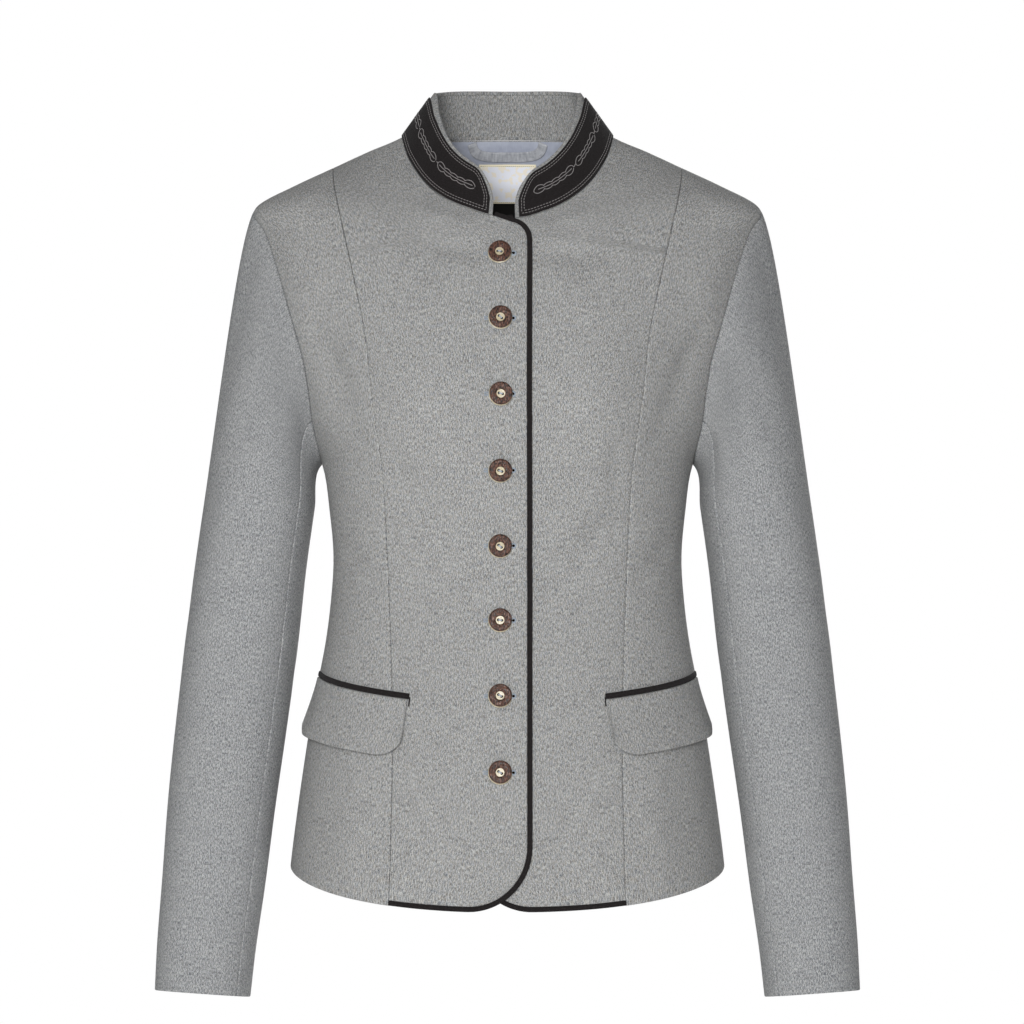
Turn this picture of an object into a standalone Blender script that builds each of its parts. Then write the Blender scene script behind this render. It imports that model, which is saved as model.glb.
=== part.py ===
"""A stand-collar wool jacket, filled out as worn and hollow, with each cut piece as a thin wall of its own.

Lengths are in millimetres until a mesh is made. The front is -Y, the wearer's left is +X, and heights are
measured from the side neck point, where the collar meets the shoulder seam.
"""
import math

import bpy
import numpy as np
from mathutils import Vector

METRES = 0.001

# Cloth and seams
WOOL = 2.0
LINING = 1.0
SEAM_GAP = 0.3
LAY_GAP = 0.4
PIPING_WIDTH = 4.0
PIPING_THICK = 2.0
PIPING_TOP_TRIM = 1.2
STRIP_SIDES = 6
STRIP_SQUARENESS = 0.6

# Front closing: the centre line that the buttons stand on, and how far each front laps past it
CENTRE = -5.5
LAP = 23.5
LAP_LIFT = 3.0
LAP_BLEND = (30.0, 62.0)
HEM_CORNER = 50.0
NECK_CORNER = 15.0
LAP_TOP = -71.0

# Level lines of the body
SIDE_HEM = -582.0
FRONT_HEM_DIP = 22.0
BACK_HEM_DIP = 6.0
ARMPIT = -262.0
SHOULDER_SEAM_TOP = -22.0
BACK_NECK_RISE = 3.0

SQUARENESS = 2.3
# Rows of faces up a panel: below the armpit, from there to the level of the collar's end, and along the neck
LOWER_ROWS = 10
CHEST_ROWS = 9
NECK_ROWS = 8
UPPER_ROWS = CHEST_ROWS + NECK_ROWS
ROWS = LOWER_ROWS + UPPER_ROWS
CORNER_ROWS = 2
COLLAR_LEVEL = -95.0
ARMHOLE_CHEST_SHARE = 0.58

# Horizontal sections of the body: height, half width, depth in front, depth behind
SECTIONS = (
    (8, 74, 8, 58),
    (0, 84, 14, 60),
    (-12, 111, 27, 65),
    (-25, 139, 39, 71),
    (-40, 171, 54, 77),
    (-55, 199, 66, 82),
    (-80, 199, 82, 90),
    (-110, 196, 95, 98),
    (-140, 189, 104, 103),
    (-165, 180, 109, 106),
    (-200, 171, 113, 107),
    (-230, 162, 114, 104),
    (-262, 148, 112, 99),
    (-300, 142, 107, 92),
    (-338, 139, 103, 88),
    (-370, 141, 103, 91),
    (-402, 145, 106, 98),
    (-434, 151, 111, 106),
    (-466, 157, 116, 114),
    (-498, 162, 120, 120),
    (-540, 168, 124, 125),
    (-580, 173, 127, 129),
    (-612, 176, 129, 131),
)

# Cups that the princess seams shape: height of the middle, distance from the centre, rise, spread across,
# spread above, spread below
BUST = (-222, 74, 15, 44, 74, 46)
SHOULDER_BLADE = (-140, 68, 4, 62, 62, 80)

# Princess seams: height, distance from the centre in front, distance behind
PRINCESS = (
    (-27, 139, 139),
    (-36, 138, 136),
    (-46, 136, 133),
    (-77, 129, 122),
    (-121, 119, 108),
    (-160, 111, 98),
    (-213, 105, 86),
    (-262, 98, 76),
    (-308, 95, 70),
    (-353, 93, 67),
    (-411, 90.5, 70),
    (-485, 89, 78),
    (-545, 90, 84),
    (-612, 91.5, 90),
)

# Armhole from the armpit to the shoulder: height, reach in front of the shoulder line, reach behind it
ARMHOLE = (
    (-262, 0, 0),
    (-256, 22, 20),
    (-240, 39, 36),
    (-216, 50, 44),
    (-190, 54, 46),
    (-165, 52, 44),
    (-140, 51, 44),
    (-116, 46, 40),
    (-95, 37, 34),
    (-74, 23, 22),
    (-55, 0, 0),
)
ARMHOLE_SAMPLES = 281

# Front neck seam: distance from the centre, height
FRONT_NECK = (
    (84.0, 0.0),
    (82.5, -6.0),
    (79.5, -16.0),
    (74.5, -26.0),
    (68.5, -35.5),
    (60.5, -45.0),
    (50.5, -53.5),
    (38.7, -60.7),
    (26.9, -65.5),
    (16.8, -69.0),
    (5.0, -70.6),
)
COLLAR_END = {"right": -11.5, "left": 6.0}
NECK_SAMPLES = 200
NECK_CROWDING = 1.6
FRONT_COLUMNS = 8
SHOULDER_COLUMNS = 2
BACK_NECK_COLUMNS = 6
SIDE_COLUMNS = 5

# Sleeve rings below the armhole: height, distance of the middle from the centre, how far forward,
# half width, half depth
SLEEVE = (
    (-290, 197.6, 0, 43.8, 60),
    (-338, 204.4, 2, 44.0, 58),
    (-402, 211.6, 6, 44.4, 55),
    (-466, 219.4, 13, 43.9, 52),
    (-530, 226.8, 21, 42.5, 48),
    (-594, 232.8, 29, 40.6, 45),
    (-642, 237.6, 35, 39.8, 43),
    (-684, 240.4, 40, 39.4, 42),
)
CAP_RINGS = 5
ARM_RINGS = 8
SLEEVE_SEAM_FRONT = 4
SLEEVE_SEAM_BACK = 7
# How a sleeve leaves the armhole, first at the armpit and then at the shoulder: outwards and downwards, and the
# share of the way to the first ring that the two handles of its curve take
LEAVE = ((0.75, 0.65), (0.60, 0.80))
LEAVE_FORWARD = 0.3
CAP_HANDLES = ((0.30, 0.30), (0.08, 0.32))
MITRE_STRETCH = 1.6
MITRE_GAP = 2.5

# Stand collar: station along the neck (0 front end, 1 side, 2 centre back), lean inwards, rise
COLLAR = (
    (0.0, 13, 34),
    (0.5, 20, 38),
    (1.0, 26, 37),
    (1.5, 17, 39),
    (2.0, 9, 39),
)
COLLAR_THICK = 2.4
COLLAR_ROUNDING = 16.0
COLLAR_END_HEIGHT = 0.25
NECK_AXIS = -10.0
COLLAR_ROWS = 3
OVERLAY_THICK = 1.0
OVERLAY_FOOT = 0.035
OVERLAY_MARGIN = 0.075
OVERLAY_END = 3.0

# Pockets: heights at the inner and outer end of the opening, flap depth, lift off the body at its foot
POCKET_INNER = 77.0
POCKET_INNER_HEIGHT = -441.0
POCKET_OUTER_ANGLE = 80.0
POCKET_OUTER_HEIGHT = -428.0
FLAP_LENGTH = 100.0
FLAP_DEPTH = 46.0
FLAP_CORNER = 12.0
FLAP_CROWDING = 0.35
FLAP_COLUMNS = 8
FLAP_ROWS = 4
FLAP_LIFT = 4.0
FLAP_THICK = 2.0
WELT_WIDTH = 4.5
WELT_THICK = 1.6
WELT_STEPS = 9

# Buttons
BUTTON_COUNT = 8
BUTTON_TOP = -98.7
BUTTON_FIRST_PITCH = 51.6
BUTTON_PITCH = 58.2
BUTTON_RADIUS = 9.2
BUTTON_SEAT = 0.8
BUTTON_SIDES = 18
# Turned profile, from the middle of the top to the middle of the back: radius share, height
BUTTON_PROFILE = (
    (0.00, 3.1),
    (0.34, 3.2),
    (0.42, 3.9),
    (0.80, 4.1),
    (0.97, 2.9),
    (1.00, 1.7),
    (0.90, 0.5),
    (0.55, 0.0),
    (0.00, 0.0),
)

# Inside the back neck
LINING_ROWS = 12
LINING_TOP = 3.0
LINING_SIDE = 2
LABEL_WIDTH = 47.0
LABEL_TOP = -16.0
LABEL_BOTTOM = -47.0
LABEL_EASE = 0.9
LABEL_ROWS = 4
LABEL_COLUMNS = 6
LOOP_HALF_SPAN = 27.0
LOOP_TOP = -1.0
LOOP_DROP = 8.4
LOOP_WIDTH = 6.5
LOOP_STEPS = 16
LOOP_SQUARENESS = 0.75

# Colours: name, sRGB colour, roughness
FINISHES = {
    "wool": ("9d9d9b", 0.9),
    "felt": ("2b2828", 0.9),
    "satin": ("7b8190", 0.4),
    "label": ("d3d2c9", 0.6),
    "horn": ("6a4d38", 0.45),
}


def table_curve(rows, key, column):
    """A smooth curve through one column of a table, as a function of its key column."""
    ordered = sorted(rows, key=lambda row: row[key])
    keys = np.array([row[key] for row in ordered], dtype=float)
    values = np.array([row[column] for row in ordered], dtype=float)
    slopes = np.gradient(values, keys)

    def curve(at):
        at = np.clip(np.asarray(at, dtype=float), keys[0], keys[-1])
        i = np.clip(np.searchsorted(keys, at) - 1, 0, len(keys) - 2)
        span = keys[i + 1] - keys[i]
        t = (at - keys[i]) / span
        rise = values[i] * (2 * t**3 - 3 * t**2 + 1) + values[i + 1] * (3 * t**2 - 2 * t**3)
        return rise + span * (slopes[i] * (t**3 - 2 * t**2 + t) + slopes[i + 1] * (t**3 - t**2))

    return curve


half_width = table_curve(SECTIONS, 0, 1)
front_depth = table_curve(SECTIONS, 0, 2)
back_depth = table_curve(SECTIONS, 0, 3)
princess_front = table_curve(PRINCESS, 0, 1)
princess_back = table_curve(PRINCESS, 0, 2)
neck_height = table_curve(FRONT_NECK, 0, 1)
collar_lean = table_curve(COLLAR, 0, 1)
collar_rise = table_curve(COLLAR, 0, 2)


def unit(vectors):
    """Vectors of length one."""
    length = np.linalg.norm(vectors, axis=-1, keepdims=True)
    return vectors / np.maximum(length, 1e-9)


def ease(value, start, end):
    """0 before start, 1 after end, with a smooth step between."""
    t = np.clip((np.asarray(value, dtype=float) - start) / (end - start), 0, 1)
    return t * t * (3 - 2 * t)


def cup(bump, x, height):
    """How far a cup stands out of the plain section."""
    middle, out, rise, across, above, below = bump
    spread = np.where(height > middle, above, below)
    return rise * np.exp(-((np.abs(x) - out) / across) ** 2 - ((height - middle) / spread) ** 2)


def depths(x, height):
    """Depth in front of the shoulder plane and behind it, with the cups."""
    return front_depth(height) + cup(BUST, x, height), back_depth(height) + cup(SHOULDER_BLADE, x, height)


def torso(angle, height):
    """A point of the body's outer face. Angle 0 is the middle of the front and pi the middle of the back."""
    angle, height = np.broadcast_arrays(np.asarray(angle, dtype=float), np.asarray(height, dtype=float))
    sideways = np.sign(np.sin(angle)) * np.abs(np.sin(angle)) ** (2 / SQUARENESS)
    forward = np.abs(np.cos(angle)) ** (2 / SQUARENESS)
    x = half_width(height) * sideways
    front, back = depths(x, height)
    y = np.where(np.cos(angle) >= 0, -front, back) * forward
    return np.stack([x, y, height], axis=-1)


def torso_out(angle, height):
    """The direction straight out of the cloth."""
    step = 2e-3
    across = torso(angle + step, height) - torso(angle - step, height)
    up = torso(angle, height + 0.2) - torso(angle, height - 0.2)
    return unit(np.cross(across, up))


def angle_at(x, height, behind=False):
    """The angle at which the section at a height is x from the centre."""
    share = np.clip(np.abs(x) / half_width(height), 0, 1)
    angle = np.arcsin(share ** (SQUARENESS / 2)) * np.sign(x)
    return math.pi - angle if behind else angle


def angle_of(points):
    """The angle of a point near the body, looked up along the section's own radius."""
    x, y, height = points[..., 0], points[..., 1], points[..., 2]
    front, back = depths(x, height)
    depth = np.where(y <= 0, front, back)
    sideways = np.sign(x) * (np.abs(x) / half_width(height)) ** (SQUARENESS / 2)
    forward = (np.abs(y) / depth) ** (SQUARENESS / 2)
    return np.arctan2(sideways, np.where(y <= 0, forward, -forward))


def hem_height(angle):
    """Height of the finished hem round the body."""
    forward = np.cos(angle)
    front = FRONT_HEM_DIP * np.maximum(forward, 0) ** 1.3
    return SIDE_HEM - front - BACK_HEM_DIP * np.maximum(-forward, 0) ** 2


def princess_heights():
    """Heights of a princess seam's rows: even to the collar's level, and crowded towards the shoulder."""
    lower = np.linspace(SIDE_HEM, ARMPIT, LOWER_ROWS + 1)
    chest = np.linspace(ARMPIT, COLLAR_LEVEL, CHEST_ROWS + 1)
    rest = (1 - np.linspace(0, 1, NECK_ROWS + 1)) ** 1.5
    neck = SHOULDER_SEAM_TOP + (COLLAR_LEVEL - SHOULDER_SEAM_TOP) * rest
    return np.concatenate([lower, chest[1:], neck[1:]])


def princess_seam(side, behind):
    """Points of a princess seam from the hem to the shoulder, with the angle at the hem."""
    heights = princess_heights()
    distance = princess_back(heights) if behind else princess_front(heights)
    angles = angle_at(side * distance, heights, behind)
    angles[-1] = side * math.pi / 2
    heights[0] = hem_height(angles[0])
    return torso(angles, heights), angles[0]


def filled(left, right, bottom, top):
    """A grid of points between four edges, drawn onto the body. Returns angles and heights."""
    rows = np.linspace(0, 1, len(left))[:, None, None]
    columns = np.linspace(0, 1, len(bottom))[None, :, None]
    across = (1 - columns) * left[:, None] + columns * right[:, None]
    along = (1 - rows) * bottom[None] + rows * top[None]
    corners = ((1 - rows) * ((1 - columns) * bottom[0] + columns * bottom[-1])
               + rows * ((1 - columns) * top[0] + columns * top[-1]))
    points = across + along - corners
    return angle_of(points), points[..., 2]


EDGES = (
    (np.s_[0, :], np.s_[1, :]),
    (np.s_[-1, :], np.s_[-2, :]),
    (np.s_[:, 0], np.s_[:, 1]),
    (np.s_[:, -1], np.s_[:, -2]),
)


def inwards_from(points, out, edge, inner):
    """Directions in the cloth from an edge of a grid towards the row beside it."""
    along = unit(np.gradient(points[edge], axis=0))
    inwards = unit(np.cross(out[edge], along))
    wrong = np.sum(inwards * (points[inner] - points[edge]), axis=-1, keepdims=True) < 0
    return np.where(wrong, -inwards, inwards)


def inset(points, out):
    """Move a grid's outer points in from its four edges by half a seam's gap."""
    moved = points.copy()
    for edge, inner in EDGES:
        moved[edge] += inwards_from(points, out, edge, inner) * SEAM_GAP / 2
    return moved


def new_object(name, vertices, faces, finish):
    """A mesh object from points in millimetres, with its faces turned outwards."""
    mesh = bpy.data.meshes.new(name)
    mesh.from_pydata([tuple(float(c) * METRES for c in v) for v in vertices], [], faces)
    mesh.validate()
    mesh.update()
    made = bpy.data.objects.new(name, mesh)
    pieces.objects.link(made)
    volume = sum(v0.dot(v1.cross(v2)) for v0, v1, v2 in triangle_corners(mesh))
    if volume < 0:
        mesh.flip_normals()
    mesh.materials.append(finishes[finish])
    mesh.shade_smooth()
    mesh.set_sharp_from_angle(angle=math.radians(50))


def triangle_corners(mesh):
    """The corners of each triangle of a mesh."""
    mesh.calc_loop_triangles()
    for triangle in mesh.loop_triangles:
        yield [mesh.vertices[i].co for i in triangle.vertices]


def split(corners, vertices):
    """Two triangles for four corners, parted along the shorter diagonal."""
    a, b, c, d = corners
    if np.linalg.norm(vertices[a] - vertices[c]) <= np.linalg.norm(vertices[b] - vertices[d]):
        return [a, b, c], [a, c, d]
    return [a, b, d], [b, c, d]


def wall(name, outer, inner, finish):
    """A thin wall between two grids of points."""
    rows, columns = outer.shape[:2]
    vertices = np.concatenate([outer.reshape(-1, 3), inner.reshape(-1, 3)])
    offset = rows * columns
    faces = []
    for r in range(rows - 1):
        for c in range(columns - 1):
            low = r * columns + c
            for triangle in split([low, low + 1, low + columns + 1, low + columns], vertices):
                faces.append(triangle)
                faces.append([i + offset for i in reversed(triangle)])
    rim = [(0, c + 1, 0, c) for c in range(columns - 1)]
    rim += [(rows - 1, c, rows - 1, c + 1) for c in range(columns - 1)]
    rim += [(r, 0, r + 1, 0) for r in range(rows - 1)]
    rim += [(r + 1, columns - 1, r, columns - 1) for r in range(rows - 1)]
    for r0, c0, r1, c1 in rim:
        a = r0 * columns + c0
        b = r1 * columns + c1
        faces.extend(split([a, b, b + offset, a + offset], vertices))
    new_object(name, vertices, faces, finish)


def panel(name, angles, heights, lift=0.0, mitre=None):
    """A cut panel on the body: its outer face on the body, its inner face a cloth's thickness inside."""
    out = torso_out(angles, heights)
    outer = torso(angles, heights) + out * np.asarray(lift)[..., None]
    moved = inset(outer, out)
    down = out.copy()
    if mitre is not None:
        directions, stretch = mitre
        down[LOWER_ROWS:, -1] = directions * stretch[:, None]
        wider = SEAM_GAP / 2 * (np.minimum(stretch, MITRE_GAP) - 1)
        inwards = inwards_from(outer, out, *EDGES[-1])
        moved[LOWER_ROWS:, -1] += inwards[LOWER_ROWS:] * wider[:, None]
    wall(name, moved, moved - down * WOOL, "wool")
    return outer, out


def front_edges(side):
    """The four edges of a front panel: its free edge with the neck seam, the princess seam, hem and shoulder."""
    reach = LAP - PIPING_WIDTH
    low_radius = HEM_CORNER - PIPING_WIDTH
    low = SIDE_HEM - FRONT_HEM_DIP + HEM_CORNER
    high_radius = NECK_CORNER - PIPING_WIDTH
    high = LAP_TOP - NECK_CORNER
    turn = math.pi / 4 * np.linspace(1, 0, CORNER_ROWS + 1)
    bend = math.pi / 4 * np.array([0, 1])
    straight = np.concatenate([
        np.linspace(low, ARMPIT, LOWER_ROWS - CORNER_ROWS + 1),
        np.linspace(ARMPIT, high, CHEST_ROWS - 1)[1:],
    ])
    heights = np.concatenate([low - low_radius * np.sin(turn), straight[1:], high + high_radius * np.sin(bend)[1:]])
    distance = np.concatenate([
        reach - low_radius * (1 - np.cos(turn)),
        np.full(len(straight) - 1, reach),
        reach - high_radius * (1 - np.cos(bend)[1:]),
    ])
    edge = torso(angle_at(CENTRE - side * distance, heights), heights)
    left = np.concatenate([edge, neck_seam(side)])

    right, seam_angle = princess_seam(side, False)
    right[0] = torso(seam_angle, hem_height(seam_angle) + PIPING_WIDTH)
    xs = np.linspace(left[0, 0], right[0, 0], FRONT_COLUMNS + 1)
    past = np.clip(side * (CENTRE - side * (LAP - HEM_CORNER) - xs), 0, low_radius)
    base = hem_height(angle_at(xs, SIDE_HEM)) + PIPING_WIDTH + low_radius - np.sqrt(low_radius**2 - past**2)
    bottom = torso(angle_at(xs, base), base)
    bottom[0] = left[0]
    bottom[-1] = right[0]
    return left, right, bottom, shoulder_seam(side, FRONT_COLUMNS)


def neck_seam(side):
    """The front neck seam's points, from the collar's end to the side neck point."""
    start = COLLAR_END["left" if side > 0 else "right"]
    share = np.linspace(0, 1, NECK_ROWS + 1) ** NECK_CROWDING
    fine = np.linspace(side * start, half_width(0.0), NECK_SAMPLES)
    heights = neck_height(np.abs(fine))
    path = torso(angle_at(side * fine, heights), heights)
    path[-1] = torso(side * math.pi / 2, 0.0)
    length = np.concatenate([[0], np.cumsum(np.linalg.norm(np.diff(path, axis=0), axis=1))])
    picked = [np.interp(share * length[-1], length, path[:, axis]) for axis in range(3)]
    return np.stack(picked, axis=-1)


def shoulder_seam(side, columns):
    """Points along the shoulder seam, from the neck to the princess seam."""
    heights = np.linspace(0, SHOULDER_SEAM_TOP, columns + 1)
    return torso(np.full_like(heights, side * math.pi / 2), heights)


def make_front(side):
    """A front panel, with its lap lifted clear of the one under it."""
    word = "left" if side > 0 else "right"
    angles, heights = filled(*front_edges(side))
    lift = lap_lift(side, torso(angles, heights))
    return panel("front_" + word, angles, heights, lift)


def lap_lift(side, points):
    """How far the right front stands off the body, so that it passes over the left one."""
    if side > 0:
        return np.zeros(points.shape[:-1])
    return LAP_LIFT * (1 - ease(-points[..., 0], *LAP_BLEND))


def armhole_seam(side):
    """The armhole's points on the front and on the back, from the armpit up, as angles and heights."""
    number = np.arange(len(ARMHOLE))
    rows = [(i, *row) for i, row in zip(number, ARMHOLE)]
    fine = np.linspace(0, number[-1], ARMHOLE_SAMPLES)
    fine_height, fine_front = (table_curve(rows, 0, column)(fine) for column in (1, 2))
    length = np.concatenate([[0], np.cumsum(np.hypot(np.diff(fine_height), np.diff(fine_front)))])
    low = ARMHOLE_CHEST_SHARE * np.linspace(0, 1, CHEST_ROWS + 1) ** 1.1
    high = np.linspace(ARMHOLE_CHEST_SHARE, 1, NECK_ROWS + 1)
    share = np.concatenate([low, high[1:]])
    at = np.interp(share * length[-1], length, fine)
    heights, front, back = (table_curve(rows, 0, column)(at) for column in (1, 2, 3))
    x = half_width(heights)
    for _ in range(4):
        deep_front, deep_back = depths(x, heights)
        x = half_width(heights) * (1 - np.clip(front / deep_front, 0, 1) ** SQUARENESS) ** (1 / SQUARENESS)
    angle_front = np.arccos(np.clip(front / deep_front, 0, 1) ** (SQUARENESS / 2))
    angle_back = math.pi - np.arccos(np.clip(back / deep_back, 0, 1) ** (SQUARENESS / 2))
    return side * angle_front, side * angle_back, heights


def side_edges(side, behind):
    """The four edges of a side front or a side back."""
    left, seam_angle = princess_seam(side, behind)
    front_angles, back_angles, heights = armhole_seam(side)
    lower = np.linspace(SIDE_HEM, ARMPIT, LOWER_ROWS + 1)
    hole = back_angles if behind else front_angles
    right_angles = np.concatenate([np.full(LOWER_ROWS, side * math.pi / 2), hole])
    right = torso(right_angles, np.concatenate([lower[:-1], heights]))
    end = 3 * math.pi / 2 if behind and side < 0 else side * math.pi / 2
    around = np.linspace(seam_angle, end, SIDE_COLUMNS + 1)
    bottom = torso(around, hem_height(around))
    shoulder = np.linspace(SHOULDER_SEAM_TOP, ARMHOLE[-1][0], SIDE_COLUMNS + 1)
    top = torso(np.full_like(shoulder, end), shoulder)
    return left, right, bottom, top


def make_side(side, behind, mitre):
    """A side front or side back, with its armhole edge mitred to the sleeve."""
    word = "left" if side > 0 else "right"
    angles, heights = filled(*side_edges(side, behind))
    name = ("side_back_" if behind else "side_front_") + word
    panel(name, angles, heights, mitre=mitre)


def back_edges():
    """The four edges of the back, from the left princess seam to the right one."""
    (left, _), (right, _) = (princess_seam(side, True) for side in (1, -1))
    columns = 2 * (SHOULDER_COLUMNS + BACK_NECK_COLUMNS)
    xs = np.linspace(left[0, 0], right[0, 0], columns + 1)
    around = angle_at(xs, SIDE_HEM, True)
    bottom = torso(around, hem_height(around))
    bottom[0] = left[0]
    bottom[-1] = right[0]
    top = np.concatenate([
        shoulder_seam(1, SHOULDER_COLUMNS)[::-1],
        back_neck_seam()[1:-1],
        shoulder_seam(-1, SHOULDER_COLUMNS),
    ])
    return left, right, bottom, top


def back_neck_seam():
    """The back neck seam's points, from the left side neck point round to the right one."""
    angles = np.linspace(math.pi / 2, 3 * math.pi / 2, 2 * BACK_NECK_COLUMNS + 1)
    heights = BACK_NECK_RISE * np.maximum(-np.cos(angles), 0) ** 1.5
    return torso(angles, heights)


def make_back():
    """The back panel, cut on the fold."""
    angles, heights = filled(*back_edges())
    return panel("back", angles, heights)


def sleeve_rings(side):
    """Rings of points down a sleeve, and the direction and stretch of the mitre at its armhole."""
    front_angles, back_angles, heights = armhole_seam(side)
    hole_angles = np.concatenate([front_angles, back_angles[-2:0:-1]])
    hole_heights = np.concatenate([heights, heights[-2:0:-1]])
    hole = torso(hole_angles, hole_heights)
    body_out = torso_out(hole_angles, hole_heights)

    levels = np.linspace(SLEEVE[0][0], SLEEVE[-1][0], ARM_RINGS + 1)
    columns = [table_curve(SLEEVE, 0, c)(levels) for c in range(1, 5)]
    middles = np.stack([side * columns[0], -columns[1], levels], axis=-1)
    axes = unit(np.gradient(middles, axis=0))
    turn = 2 * math.pi * np.arange(len(hole)) / len(hole)
    inwards = np.sign(np.cos(turn)) * np.abs(np.cos(turn)) ** (2 / SQUARENESS)
    onwards = np.sign(np.sin(turn)) * np.abs(np.sin(turn)) ** (2 / SQUARENESS)
    rings = []
    for middle, axis, wide, deep in zip(middles, axes, columns[2], columns[3]):
        forward = np.array([0.0, -1.0, 0.0])
        forward = unit(forward - axis * np.dot(forward, axis))
        inner = np.cross(forward, axis) * side
        inner = inner if inner[0] * side < 0 else -inner
        rings.append(middle + np.outer(inwards * wide, inner) + np.outer(onwards * deep, forward))

    upper = (1 - np.cos(turn)) / 2
    outwards, downwards = (np.interp(upper, (0, 1), ends) for ends in zip(*LEAVE))
    near, far = (np.interp(upper, (0, 1), ends)[:, None] for ends in zip(*CAP_HANDLES))
    leave = unit(np.stack([side * outwards, -LEAVE_FORWARD * np.sin(turn), -downwards], axis=-1))
    reach = np.linalg.norm(rings[0] - hole, axis=-1, keepdims=True)
    first = hole + leave * reach * near
    second = rings[0] - axes[0] * reach * far
    cap = []
    for t in np.linspace(0, 1, CAP_RINGS + 1)[:-1]:
        cap.append((1 - t)**3 * hole + 3 * t * (1 - t)**2 * first + 3 * t**2 * (1 - t) * second + t**3 * rings[0])
    grid = np.array(cap + rings)

    out = grid_out(grid)
    shared = unit(body_out + out[0])
    stretch = np.minimum(1 / np.maximum(np.sum(shared * out[0], axis=-1), 0.1), MITRE_STRETCH)
    return grid, out, shared, stretch, leave


def grid_out(grid):
    """Directions out of a tube of rings."""
    around = np.roll(grid, -1, axis=1) - np.roll(grid, 1, axis=1)
    along = np.gradient(grid, axis=0)
    out = unit(np.cross(around, along))
    middle = grid.mean(axis=1, keepdims=True)
    wrong = np.sum(out[-1] * (grid[-1] - middle[-1])) < 0
    return -out if wrong else out


def make_sleeve(side):
    """The upper and under sleeve. Returns the mitre for the body's armhole edge."""
    word = "left" if side > 0 else "right"
    grid, out, shared, stretch, leave = sleeve_rings(side)
    down = out.copy()
    down[0] = shared * stretch[:, None]
    outer = grid.copy()
    gap = SEAM_GAP / 2 * np.minimum(stretch**1.5, MITRE_GAP)
    outer[0] += leave * gap[:, None]
    inner = outer - down * WOOL
    count = grid.shape[1]
    top = np.arange(SLEEVE_SEAM_FRONT, count - SLEEVE_SEAM_BACK + 1)
    under = np.arange(count - SLEEVE_SEAM_BACK, count + SLEEVE_SEAM_FRONT + 1) % count
    for name, columns in (("sleeve_upper_", top), ("sleeve_under_", under)):
        face = outer[:, columns]
        back = inner[:, columns]
        for edge, inside in ((0, 1), (-1, -2)):
            nudge = unit(face[:, inside] - face[:, edge]) * SEAM_GAP / 2
            face[:, edge] += nudge
            back[:, edge] += nudge
        wall(name + word, face, back, "wool")
    half = count // 2
    behind = np.concatenate([[0], np.arange(count - 1, half - 1, -1)])
    return [(shared[order], stretch[order]) for order in (np.arange(half + 1), behind)]


def collar_grid(fronts, back):
    """The collar's outer face, from its right end round the back to its left end, and its base directions."""
    (right_face, right_out), (left_face, left_out) = fronts
    back_face, back_out = back
    neck = slice(ROWS - NECK_ROWS, ROWS + 1)
    middle = slice(SHOULDER_COLUMNS, SHOULDER_COLUMNS + 2 * BACK_NECK_COLUMNS + 1)
    base = np.concatenate([
        right_face[neck, 0],
        back_face[-1, middle][::-1][1:-1],
        left_face[neck, 0][::-1],
    ])
    out = np.concatenate([
        right_out[neck, 0],
        back_out[-1, middle][::-1][1:-1],
        left_out[neck, 0][::-1],
    ])
    length = np.concatenate([[0], np.cumsum(np.linalg.norm(np.diff(base, axis=0), axis=1))])
    side_right = length[NECK_ROWS]
    side_left = length[-1 - NECK_ROWS]
    station = np.interp(length, [0, side_right, length[-1] / 2, side_left, length[-1]], [0, 1, 2, 3, 4])
    station = np.minimum(station, 4 - station)
    inwards = np.stack([-base[:, 0], NECK_AXIS - base[:, 1], np.zeros(len(base))], axis=-1)
    up = unit(inwards) * collar_lean(station)[:, None]
    up[:, 2] = collar_rise(station)
    from_end = np.minimum(length, length[-1] - length)
    corner = np.clip(1 - from_end / COLLAR_ROUNDING, 0, 1)
    share = COLLAR_END_HEIGHT + (1 - COLLAR_END_HEIGHT) * np.sqrt(1 - corner**2)
    return base, up, share, out, from_end


def collar_rows(base, up, share, low, high, count):
    """Rows of points up the collar between two shares of its height."""
    rows = np.linspace(low, high, count + 1)[:, None, None]
    return base[None] + up[None] * (share[None, :, None] * rows)


def make_collar(fronts, back):
    """The stand collar and the black overlay on its outside."""
    base, up, share, body_out, from_end = collar_grid(fronts, back)
    face = collar_rows(base, up, share, 0, 1, COLLAR_ROWS)
    out = collar_out(base, up)
    shared = unit(out + body_out)
    stretch = 1 / np.maximum(np.sum(shared * out, axis=-1), 0.5)
    down = np.repeat(out[None], len(face), axis=0)
    down[0] = shared * stretch[:, None]
    outer = face.copy()
    outer[0] += unit(up) * SEAM_GAP
    wall("collar", outer, outer - down * COLLAR_THICK, "wool")

    kept = from_end >= OVERLAY_END
    foot = OVERLAY_FOOT
    under = collar_rows(base, up, share, foot, 1 - OVERLAY_MARGIN, COLLAR_ROWS)[:, kept]
    lay = np.repeat(out[None], len(face), axis=0)[:, kept]
    wall("collar_overlay", under + lay * (LAY_GAP + OVERLAY_THICK), under + lay * LAY_GAP, "felt")


def collar_out(base, up):
    """Directions out of the collar."""
    along = np.gradient(base, axis=0)
    out = unit(np.cross(along, up))
    outwards = base - np.array([0, NECK_AXIS, 0])
    outwards[:, 2] = 0
    wrong = np.sum(out * outwards) < 0
    return -out if wrong else out


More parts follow.
